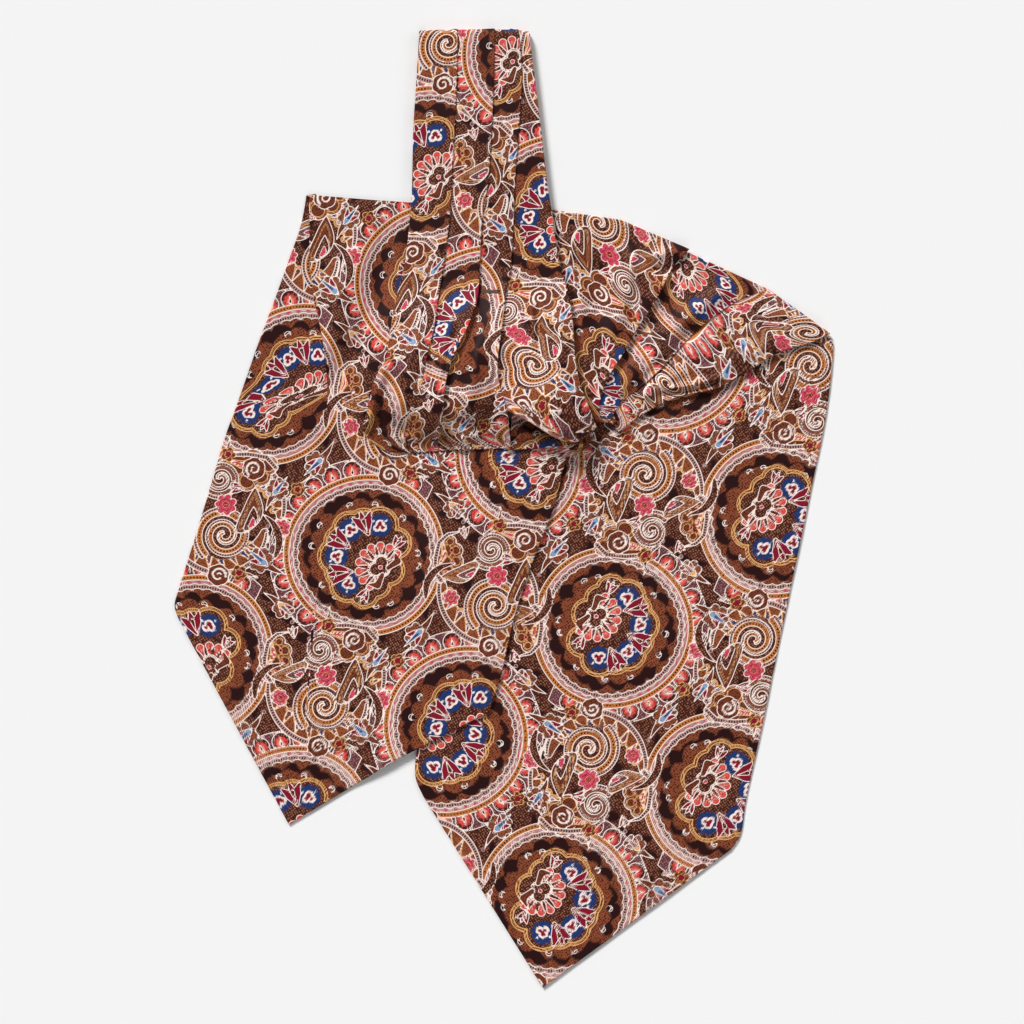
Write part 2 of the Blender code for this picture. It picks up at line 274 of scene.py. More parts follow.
def halfFlower(cloth, centre, turn, size):
    # coral petals round three sides of a heart
    for k in range(9):
        angle = turn + pi / 2 + (k - 4) * 0.44
        near, x, y = nearCopy(cloth, around(centre, size * 0.42, angle), angle - pi / 2, size)
        paint(cloth, near, teardrop(x, y, size * 0.72, size * 0.36), "coral", weight=0.9)
        paint(cloth, near, teardrop(x, y - size * 0.2, size * 0.34, size * 0.13), "blush", ink="crimson",
              weight=0.55)
    near, x, y = nearCopy(cloth, centre, turn, size * 1.5)
    heart = circles(x, y, [(-0.2 * size, 0.1 * size, 0.27 * size), (0.2 * size, 0.1 * size, 0.27 * size),
                           (0, -0.12 * size, 0.27 * size)])
    paint(cloth, near, heart - 0.8, "umber")
    paint(cloth, near, heart, "ground")
    paint(cloth, near, np.hypot(x, y) - size * 0.09, "rose", weight=0.6)
    for lean in (-1, 1):
        side = size * lean
        leaf = [(0.2 * side, -0.28 * size), (0.7 * side, -0.42 * size), (0.98 * side, 0.0)]
        paint(cloth, near, alongCurve(x, y, leaf, [0.1 * size, 0.16 * size, 0.05])[0], "umber", weight=0.9)


def flameFan(cloth, centre, turn, size):
    near, x, y = nearCopy(cloth, centre, turn, size * 1.6)
    paint(cloth, near, np.hypot(x, y) - size, "brownPlain")
    paint(cloth, near, scallops(x, y + 0.15 * size, size * 0.68, 9, size * 0.2), "coral", ink="crimson",
          weight=0.6)
    paint(cloth, near, scallops(x, y + 0.25 * size, size * 0.42, 7, size * 0.12), "blush", ink="crimson",
          weight=0.4)
    paint(cloth, near, teardrop(x, size * 0.35 - y, size * 0.8, size * 0.34), "night", weight=0.8)


def carnation(cloth, centre, turn, size):
    near, x, y = nearCopy(cloth, centre, turn, size * 1.6)
    paint(cloth, near, scallops(x, y, size, 7, size * 0.36), "rose")
    paint(cloth, near, scallops(x, y, size * 0.6, 7, size * 0.2), "rose", ink="crimson", weight=0.7)
    paint(cloth, near, np.hypot(x, y) - size * 0.34, "crimson", ink="blush", weight=0.7)
    paint(cloth, near, np.hypot(x, y) - size * 0.13, "blush", ink="black", weight=0.5)


def volute(cloth, centre, turn, size, turns, flip=1, inner="studded", outer="frost"):
    # a scroll of two bands on dotted ground
    near, x, y = nearCopy(cloth, centre, turn, size * 1.5)
    y = y * flip
    steps = int(turns * 2 * pi / 0.2)
    path, wide, rim, rimWide = [], [], [], []
    for k in range(steps + 1):
        share = k / steps
        r = size * (0.05 + 0.95 * share ** 1.1)
        angle = turns * 2 * pi * share
        half = 0.45 + size * 0.075 * share ** 0.8
        path.append((r * cos(angle), r * sin(angle)))
        wide.append(half)
        rim.append(((r + half + 0.75) * cos(angle), (r + half + 0.75) * sin(angle)))
        rimWide.append(0.35 + 0.45 * share)
    paint(cloth, near, circles(x, y, [(0, 0, size * 0.92)]), "ground", ink="umber", weight=0.5)
    depth, along, across = alongCurve(x, y, path, wide)
    paint(cloth, near, depth, inner, along=along, across=across)
    depth, along, across = alongCurve(x, y, rim, rimWide)
    paint(cloth, near, depth, outer, along=along, across=across, weight=0.9)


def botehLoop(size, bend, count=44):
    points = []
    for k in range(count):
        angle = 2 * pi * k / count
        width = size * 0.36 * sin(angle) * (sin(angle / 2) ** 0.9)
        length = -size * 0.62 * cos(angle)
        lift = max((length / size + 0.62) / 1.24 - 0.35, 0)
        points.append((width + bend * size * lift ** 2, -length))
    return points


def curlyLeaf(cloth, centre, turn, size, flip=1, kind="umber", heart="ground"):
    # a comma leaf with nested outlines and a curled tip
    near, x, y = nearCopy(cloth, centre, turn, size * 1.3)
    x = x * flip
    loop = botehLoop(size, 0.75)
    paint(cloth, near, insideLoop(x, y, loop), kind)
    depth = insideLoop(x, y, loop) + size * 0.085
    paint(cloth, near, depth, "honey", ink="umber", weight=0.5)
    paint(cloth, near, depth + 0.55, kind, ink="umber", weight=0.5)
    core = insideLoop(x * 1.9, y * 1.9 + size * 0.42, loop) / 1.9
    paint(cloth, near, core, heart)
    paint(cloth, near, insideLoop(x * 4.2, y * 4.2 + size * 1.35, loop) / 4.2, "rose", weight=0.6)


def swirl(cloth, centre, turn, size, flip=1, kind="umber"):
    near, x, y = nearCopy(cloth, centre, turn, size * 1.9)
    y = y * flip
    paint(cloth, near, scallops(x, y, size, 6, size * 0.1), kind)
    path, wide = [], []
    for k in range(24):
        share = k / 23
        r = size * (0.1 + 0.62 * share)
        path.append((r * cos(9.4 * share), r * sin(9.4 * share)))
        wide.append(0.12 + 0.3 * share)
    paint(cloth, near, alongCurve(x, y, path, wide)[0], "cream", ink="cream", weight=0.4)


def calyx(cloth, centre, turn, size, heart="paleBlue"):
    # a scalloped leaf that holds a flaring cup, with a long drop out of it
    near, x, y = nearCopy(cloth, centre, turn, size * 2.4)
    body = scallops(x, y, size * 0.86, 7, size * 0.24, 0.2)
    neck = alongCurve(x, y, [(0, -0.5 * size), (0.1 * size, -1.3 * size), (0.34 * size, -2.1 * size)],
                      [0.3 * size, 0.17 * size, 0.05])[0]
    paint(cloth, near, np.minimum(body, neck), "umber", weight=0.9)
    paint(cloth, near, body + size * 0.16, "amber", ink="black", weight=0.4)
    tulip(cloth, around(centre, 0.62 * size, turn - pi / 2), turn, size * 1.25, heart=False)
    near, x, y = nearCopy(cloth, around(centre, 0.4 * size, turn - pi / 2), turn, size * 2.4)
    paint(cloth, near, teardrop(x, -y + 1.75 * size, size * 1.9, size * 0.46), heart, weight=0.9)
    paint(cloth, near, teardrop(x, -y + 1.45 * size, size * 1.2, size * 0.16), "blue", ink="blue", weight=0.3)


def starFlower(cloth, centre, turn, size):
    near, x, y = nearCopy(cloth, centre, turn, size * 3.2)
    stem = [(0, 0), (0.1 * size, -1.3 * size), (0, -2.8 * size)]
    paint(cloth, near, alongCurve(x, y, stem, [0.3 * size, 0.2 * size, 0.05])[0], "umber", weight=0.8)
    paint(cloth, near, scallops(x, y, size * 0.9, 5, size * 0.42), "umber", ink="gold", weight=0.9)
    paint(cloth, near, scallops(x, y, size * 0.44, 5, size * 0.2), "crimson", ink="gold", weight=0.6)


def tendril(cloth, points, width, kind="ground", ink="cream"):
    # a long leaf that tapers to both ends
    middle = np.mean(points, axis=0)
    shares = np.linspace(0, 1, 14)
    path = smoothLine(points, shares) - middle
    near, x, y = nearCopy(cloth, middle, 0.0, np.hypot(*path.T).max() + width + 2)
    widths = [0.1 + width * sin(pi * share ** 0.8) for share in shares]
    paint(cloth, near, alongCurve(x, y, path, widths)[0], kind, ink=ink, weight=0.85)


def seed(cloth, centre, size=0.85):
    near, x, y = nearCopy(cloth, centre, 0.0, 3)
    paint(cloth, near, np.hypot(x, y) - size, "plum", ink="mauve", weight=0.9)


def feather(cloth, centre, start, sweep, radius, flip=1):
    # a crescent: beaded spine outside, honey lobes with blue drops inside
    count = 30
    path, wide = [], []
    for k in range(count + 1):
        share = k / count
        angle, r = start + flip * sweep * share, radius - 8.0 * share ** 2.2
        path.append((r * cos(angle), r * sin(angle)))
        wide.append(0.5 + 0.75 * sin(pi * min(share * 0.8 + 0.15, 1)))
    near, x, y = nearCopy(cloth, centre, 0.0, radius + 4)
    swell = [4.4 * sin(pi * min(k / count * 0.9 + 0.05, 1)) ** 0.7 for k in range(count + 1)]
    inset = [(px * (1 - s / radius), py * (1 - s / radius)) for (px, py), s in zip(path, swell)]
    paint(cloth, near, alongCurve(x, y, inset, [s + 0.8 for s in swell])[0], "amber")
    for k in range(2, count - 1, 3):
        share = k / count
        angle = start + flip * sweep * share
        length = 3.6 + 5.0 * sin(pi * share) ** 0.8
        root = around(centre, hypot(*path[k]) - 0.8, angle)
        lobe, lx, ly = nearCopy(cloth, root, angle + pi / 2 + 0.35 * flip, length + 4)
        paint(cloth, lobe, teardrop(lx, ly, length + 1.2, length * 0.58), "orange", ink="gold")
        inner = teardrop(lx, ly - 0.6, length - 0.8, length * 0.32)
        paint(cloth, lobe, inner, "blue" if k % 2 else "plum", weight=0.8)
    depth, along, across = alongCurve(x, y, path, wide)
    paint(cloth, near, depth, "ticked", along=along, across=across)


def acanthus(cloth, centre, turn, size, flip=1):
    # a big lobed leaf with a beaded rib that ends in a small curl
    near, x, y = nearCopy(cloth, centre, turn, size * 1.9)
    x = x * flip
    lobes = [(-0.92, 0.02, 0.36), (-0.66, 0.46, 0.38), (-0.16, 0.72, 0.38), (0.38, 0.66, 0.36),
             (0.78, 0.34, 0.32), (-0.3, 0.08, 0.58), (0.3, 0.14, 0.5)]
    body = circles(x / size, y / size, lobes) * size
    paint(cloth, near, body, "amber")
    paint(cloth, near, body + 1.5, "umber", ink="gold", weight=0.7)
    for u, v in ((-0.72, 0.3), (-0.2, 0.56), (0.36, 0.46)):
        paint(cloth, near, np.hypot(x - u * size, y - v * size) - 0.8, "night", ink="blush", weight=0.8)
    leaf = [(-0.5 * size, -0.1 * size), (0.1 * size, 0.12 * size), (0.7 * size, 0.0)]
    paint(cloth, near, alongCurve(x, y, leaf, [0.3, 0.15 * size, 0.3])[0], "orange", ink="gold")
    paint(cloth, near, alongCurve(x, y, leaf, [0.1, 0.06 * size, 0.1])[0], "rose", weight=0.6)
    rib = [(-1.2 * size, 0.1 * size), (-0.8 * size, -0.26 * size), (-0.1 * size, -0.3 * size),
           (0.7 * size, -0.2 * size), (1.15 * size, 0.2 * size), (1.3 * size, 0.7 * size)]
    depth, along, across = alongCurve(x, y, rib, [1.0, 1.1, 1.0, 0.9, 0.7, 0.3])
    paint(cloth, near, depth, "ticked", along=along, across=across)


def roundel(cloth, centre, turn):
    # rings painted from the outside inwards, then leafy crescents and the flower bed in the middle
    near, x, y = nearCopy(cloth, centre, turn, silk["repeat"] / 2 - 0.1)
    r, a = np.hypot(x, y), np.arctan2(y, x)
    side = y * 0.94 - x * 0.34
    paint(cloth, near, np.maximum(r - 45.6, -15 - side), "plum")
    for k in range(15):
        angle = turn + pi * (-0.03 + 0.0785 * k) + 0.3
        flameFan(cloth, around(centre, 40.6, angle), angle - pi / 2, 4.3)
    wobble = 0.5 * np.sin(3 * a + 1.0)
    paint(cloth, near, r - 38.2 - wobble, "studded", along=a * 36.8, across=r - 36.9 - wobble)
    paint(cloth, near, r - 35.7 - wobble, "blushed", along=a * 34.6, across=r - 34.7 - wobble)
    paint(cloth, near, scallops(x, y, 33.6, 44, 0.7) - wobble, "ticked", along=a * 32.6,
          across=r - 32.5 - wobble)
    paint(cloth, near, scallops(x, y, 31.3, 38, 0.9) - wobble, "leafy")
    rough = 0.8 * np.sin(7 * a + 2) + 0.7 * np.sin(13 * a)
    paint(cloth, near, scallops(x, y, 28.8, 19, 2.8) + rough, "night", ink="black", weight=0.6)
    paint(cloth, near, scallops(x, y, 25.3, 17, 3.0, 0.4) - rough, "leafy", ink="black", weight=0.6)
    for k in range(11):
        spot = around(centre, 24.9 + 0.8 * sin(5 * k), turn + 2 * pi * (k + 0.3 * sin(3 * k)) / 11)
        leaf, lx, ly = nearCopy(cloth, spot, turn + 2 * pi * k / 11 - pi / 2, 4)
        crescent = np.maximum(np.hypot(lx, ly) - 1.5, 1.25 - np.hypot(lx, ly + 0.8))
        paint(cloth, leaf, crescent, "night", weight=0.7)
    flower = [(-15.4, -4.0), (-10.2, 9.2), (3.4, 13.4), (14.8, 5.0)]
    cup = [(-14.0, -13.2), (-15.2, 2.8), (-4.2, 14.2), (10.6, 11.8), (15.4, -6.6)]
    lobes = [(u, v, 7.4) for u, v in flower] + [(u * 0.93, v * 0.93, 6.0) for u, v in cup]
    lobes += [(-1, -2, 14.0), (3, -13, 6.0), (-6, -13.5, 5.6)]
    edge = circles(x, y, lobes)
    paint(cloth, near, edge - 1.5, "umber", ink="gold", weight=1.0)
    paint(cloth, near, edge - 0.1, "ground", ink="gold", weight=1.2)
    heart = (1.0, -9.2)
    c, s = cos(turn), sin(turn)

    def placed(u, v):
        return (centre[0] + u * c - v * s, centre[1] + u * s + v * c)

    for u, v in flower:
        away = np.arctan2(v - heart[1], u - heart[0])
        blueFlower(cloth, placed(u, v), turn + away - pi / 2, 5.3)
    for k, (u, v) in enumerate(cup):
        away = np.arctan2(v - heart[1], u - heart[0])
        reach = hypot(u - heart[0], v - heart[1])
        size = 6.4 if k in (0, 4) else 10.4
        start = (heart[0] + (reach - size * 0.62) * cos(away), heart[1] + (reach - size * 0.62) * sin(away))
        tulip(cloth, placed(*start), turn + away - pi / 2, size)
    halfFlower(cloth, placed(*heart), turn + 0.1, 10.6)


def drawPrint(cloth):
    # one repeat, painted from the ground up
    half = silk["repeat"] / 2
    n = len(cloth["p"])
    p, q = cloth["p"], cloth["q"]
    paint(cloth, np.arange(n), np.full(n, -9.0), "ground")
    k = 2 * pi / silk["repeat"]
    cloud = np.sin(4 * k * p + 2 * np.sin(3 * k * q)) * np.sin(5 * k * q + 1.5 * np.sin(4 * k * p) + 1)
    dark = np.clip((cloud - 0.3) * 5, 0, 1)[:, None]
    cloth["fill"] = cloth["fill"] * (1 - dark) + np.array(linearColour(silk["black"])) * dark
    cloth["dot"][:, 3] *= 1 - dark[:, 0]
    seeds = ((-3, -30), (7, -22), (-12, 24), (24, 4), (-26, -4), (4, 26), (14, -12), (-16, -18), (19, 21),
             (-5, 15), (-20, 12), (10, 12), (30, -6), (-6, -12), (-32, 7), (26, -17), (1, 37), (-9, 34))
    for dp, dq in seeds:
        seed(cloth, (half + dp, half + dq))
    roundel(cloth, (0, 0), 0.25)
    feather(cloth, (half - 1, half + 1), 2.5, 2.9, 28.0)
    feather(cloth, (half + 4, half + 6), -0.75, 2.35, 25.5)
    acanthus(cloth, (-27, -27), 2.5, 12.5)
    acanthus(cloth, (31, -19), -2.2, 9.5, flip=-1)
    volute(cloth, (half - 6, half - 5), 1.2, 12.6, 2.35)
    curlyLeaf(cloth, (half + 12, half - 2), -0.6, 18, flip=-1)
    volute(cloth, (half + 6, half + 19), 2.6, 8.0, 1.9, flip=-1, inner="pearled")
    curlyLeaf(cloth, (half - 13, half + 16), 1.1, 14.5, kind="amber", heart="plum")
    carnation(cloth, (half + 2, half + 7), 0.3, 4.4)
    carnation(cloth, (half - 22, half + 9), 0.9, 3.4)
    carnation(cloth, (half + 19, half - 16), 0.2, 3.8)
    swirl(cloth, (half + 22, half + 15), 0.4, 5.2)
    swirl(cloth, (half - 18, half - 20), 2.4, 5.0, flip=-1)
    calyx(cloth, (half + 3, half - 24), 0.35, 6.4)
    calyx(cloth, (half + 27, half + 1), -1.2, 5.6)
    calyx(cloth, (2, half + 2), 1.8, 6.2)
    calyx(cloth, (half + 1, -2), -2.9, 5.6, heart="honey")
    tulip(cloth, (half + 13, half + 9), 0.9, 6.0)
    tulip(cloth, (half - 2, half + 30), -0.4, 5.4)
    for points in (((9, -27), (15, -21), (17, -13), (15, -6)), ((-33, 14), (-28, 21), (-20, 24), (-12, 22))):
        tendril(cloth, [(half + u, half + v) for u, v in points], 1.7)
    starFlower(cloth, (half - 9, half - 24), 0.8, 3.4)
    starFlower(cloth, (half + 15, half + 27), 2.5, 3.2)
    starFlower(cloth, (-12, half - 4), 1.2, 3.2)


# lines and grids of the laid cloth
def smoothLine(points, share):
    points = np.array(points, float)
    place = np.asarray(share) * (len(points) - 1)
    first = np.clip(place.astype(int), 0, len(points) - 2)
    t = (place - first)[:, None]
    p = [points[np.clip(first + k, 0, len(points) - 1)] for k in (-1, 0, 1, 2)]
    bend = 2 * p[0] - 5 * p[1] + 4 * p[2] - p[3]
    return p[1] + 0.5 * t * (p[2] - p[0] + t * (bend + t * (3 * (p[1] - p[2]) + p[3] - p[0])))


def runOf(points, fine):
    steps = np.diff(smoothLine(points, fine), axis=0)
    return np.concatenate([[0], np.cumsum(np.hypot(steps[:, 0], steps[:, 1]))])


def lineRun(points, shares):
    # length of the line up to each share of its table
    fine = np.linspace(0, 1, 400)
    return np.interp(shares, fine, runOf(points, fine))


def evenShares(points, count):
    # shares of the table that lie evenly along the line
    fine = np.linspace(0, 1, 400)
    run = runOf(points, fine)
    return np.interp(np.linspace(0, run[-1], count), run, fine)


def clothGrid(name, cols, rows):
    made = bmesh.new()
    bmesh.ops.create_grid(made, x_segments=cols, y_segments=rows, size=0.5)
    mesh = bpy.data.meshes.new(name)
    made.to_mesh(mesh)
    made.free()
    co = np.empty(len(mesh.vertices) * 3)
    mesh.vertices.foreach_get("co", co)
    co = co.reshape(-1, 3)
    column = np.rint((co[:, 0] + 0.5) * cols).astype(int)
    row = np.rint((0.5 - co[:, 1]) * rows).astype(int)
    return mesh, column, row


def addPrint(mesh, flat, layout):
    # the print at each point of the mesh, kept as attributes that the material reads
    turn = layout["turn"]
    a, b = flat[:, 0] - layout["origin"][0], flat[:, 1] - layout["origin"][1]
    cloth = newPrint(a * cos(turn) + b * sin(turn), b * cos(turn) - a * sin(turn))
    drawPrint(cloth)
    for key in ("fill", "ink", "dot", "bead"):
        values = cloth[key] if cloth[key].shape[1] == 4 else np.column_stack([cloth[key], np.ones(len(flat))])
        layer = mesh.attributes.new(key, "FLOAT_COLOR", "POINT")
        layer.data.foreach_set("color", values.astype(np.float32).ravel())
    cloth["reach"] = np.abs(cloth["line"])
    for key in ("line", "reach", "along", "across", "tall"):
        layer = mesh.attributes.new(key, "FLOAT", "POINT")
        layer.data.foreach_set("value", cloth[key].astype(np.float32))
    layer = mesh.attributes.new("thread", "FLOAT_VECTOR", "POINT")
    threads = np.column_stack([cloth["p"], cloth["q"], np.zeros(len(flat))])
    layer.data.foreach_set("vector", threads.astype(np.float32).ravel())


def joinMeshes(name, meshes):
    made = bmesh.new()
    for mesh in meshes:
        made.from_mesh(mesh)
    for face in made.faces:
        face.smooth = True
    whole = bpy.data.meshes.new(name)
    made.to_mesh(whole)
    made.free()
    for mesh in meshes:
        bpy.data.meshes.remove(mesh)
    piece = bpy.data.objects.new(name, whole)
    bpy.context.scene.collection.objects.link(piece)
    return piece


# a laid cloth is a grid of points with its flat coordinates, and its edges are rolled or tucked
def linesOf(table, columns):
    return [[row[c] for row in table] for c in columns]


def heightsAlong(values, shares):
    return np.interp(shares * (len(values) - 1), np.arange(len(values)), values)


def layCloth(lines, shares, cells):
    places = [smoothLine(line, shares) for line in lines]
    blocks, across = [], []
    for j, count in enumerate(cells):
        u = np.linspace(0, 1, count + 1)
        if j:
            u = u[1:]
        blocks.append(places[j][:, None] + (places[j + 1] - places[j])[:, None] * u[None, :, None])
        across.append(j + u)
    xy = np.concatenate(blocks, axis=1)
    return xy, np.concatenate(across)


def turned(cloth, side, back=False):
    # the same grid with the side's edge as its last column, or turned back again
    made = {}
    for key, value in cloth.items():
        if back and side in ("left", "top"):
            value = value[:, ::-1]
        if side in ("top", "bottom"):
            value = value.swapaxes(0, 1)
        if not back and side in ("left", "top"):
            value = value[:, ::-1]
        made[key] = value
    return made


def outward(values):
    # level direction in which the last column points away from the cloth
    away = values[:, -1] - values[:, -3]
    away[:, 2:] = 0
    return away / np.maximum(np.linalg.norm(away, axis=1, keepdims=True), 1e-6)


def foldUnder(cloth, side, radius, back=4.0, steps=6, backSteps=3):
    # rolls an edge under and runs it back beneath the cloth
    work = turned(cloth, side)
    edge, spot = work["xyz"][:, -1], work["flat"][:, -1]
    out, away = outward(work["xyz"]), outward(work["flat"])
    r = np.broadcast_to(np.asarray(radius, float), (len(edge),))[:, None]
    up = np.array([0, 0, 1.0])
    places, spots = [], []
    for k in range(1, steps + 1):
        angle = pi * k / steps
        places.append(edge + out * r * sin(angle) - up * r * (1 - cos(angle)))
        spots.append(spot + away * r * angle)
    for k in range(1, backSteps + 1):
        run = back * k / backSteps
        places.append(edge - out * run - up * r * 2)
        spots.append(spot + away * (r * pi + run))
    work["xyz"] = np.concatenate([work["xyz"], np.stack(places, axis=1)], axis=1)
    work["flat"] = np.concatenate([work["flat"], np.stack(spots, axis=1)], axis=1)
    return turned(work, side, back=True)


def tuckUnder(cloth, side, depth, drop, steps=5):
    # slides an edge beneath its neighbour
    work = turned(cloth, side)
    edge, spot = work["xyz"][:, -1], work["flat"][:, -1]
    out, away = outward(work["xyz"]), outward(work["flat"])
    d = np.broadcast_to(np.asarray(depth, float), (len(edge),))[:, None]
    low = np.broadcast_to(np.asarray(drop, float), (len(edge),))[:, None] * np.array([0, 0, 1.0])
    places = [edge + out * d * k / steps - low * (k / steps) ** 0.7 for k in range(1, steps + 1)]
    spots = [spot + away * d * k / steps for k in range(1, steps + 1)]
    work["xyz"] = np.concatenate([work["xyz"], np.stack(places, axis=1)], axis=1)
    work["flat"] = np.concatenate([work["flat"], np.stack(spots, axis=1)], axis=1)
    return turned(work, side, back=True)


def clothMesh(name, cloth, layout=None):
    # layout is the dictionary that holds the turn and origin of the print
    rows, cols = cloth["xyz"].shape[0] - 1, cloth["xyz"].shape[1] - 1
    mesh, column, row = clothGrid(name, cols, rows)
    place = cloth["xyz"][row, column]
    place[:, 2] = np.maximum(place[:, 2], layers["lowest"])
    mesh.vertices.foreach_set("co", (place * mm).ravel())
    if layout:
        addPrint(mesh, cloth["flat"][row, column], layout)
    return mesh


def crease(x, y, points, depth, width, fadeIn, fadeOut):
    # a soft ridge or trough that follows a line and fades out at its ends
    best = np.full(np.shape(x), 1e9)
    share = np.zeros(np.shape(x))
    count = len(points) - 1
    for k, ((ax, ay), (bx, by)) in enumerate(zip(points[:-1], points[1:])):
        ex, ey = bx - ax, by - ay
        t = np.clip(((x - ax) * ex + (y - ay) * ey) / (ex * ex + ey * ey), 0, 1)
        far = np.hypot(x - ax - t * ex, y - ay - t * ey)
        closer = far < best
        best = np.where(closer, far, best)
        share = np.where(closer, (k + t) / count, share)
    along = ramp(-0.001, max(fadeIn, 0.001), share) * ramp(1.001, 1 - max(fadeOut, 0.001), share)
    return depth * np.exp(-(best / width) ** 2) * along


def creasesOf(table, x, y):
    total = np.zeros(np.shape(x))
    for points, depth, width, fadeIn, fadeOut in table:
        total += crease(x, y, points, depth, width, fadeIn, fadeOut)
    return total


def settled(z, seat, least=0.95):
    # creases flatten out softly where they near what the cloth lies on
    height = z - seat
    return seat + np.where(height < least, least * np.exp((height - least) / least), height)


# material of the cravat
def addNode(tree, kind, settings=None, inputs=None, links=None):
    node = tree.nodes.new(kind)
    for key, value in (settings or {}).items():
        setattr(node, key, value)
    for key, value in (inputs or {}).items():
        node.inputs[key].default_value = value
    for key, socket in (links or {}).items():
        tree.links.new(socket, node.inputs[key])
    return node


twill = {
    "roughness": 0.58,     # degummed silk with a satin light
    "glossSpread": (0.05, 0.06),   # how much smoother and rougher it gets from place to place
    "specular": 0.14,
    "ior": 1.5,
    "sheen": 0.03,
    "sheenRoughness": 0.4,
    "dotShare": 0.36,      # radius of a dot as a share of the pitch
    "dotDisorder": 0.38,
    "blur": 0.08,          # soft rim of a printed dot or line
    "beadBlur": 0.15,
    "ribPitch": 1.132,     # real ribs are 0.3 mm apart, drawn coarser so that they can be seen
    "ribHeight": 0.00002,
    "ribWander": 0.6,
    "ribStrength": 0.5,
    "slub": 1.6,           # unevenness of the threads against the ribs
    "slubScale": 0.9,
    "fade": 0.10,
    "fadeScale": 0.05,     # per millimetre of cloth
    "plainFadeScale": 45.0,    # per metre
}


def diagonalScale(pitch):
    # a diagonal wave texture repeats each time that x + y has grown by 2 pi / 10
    return 2 * pi / (10 * sqrt(2) * pitch)


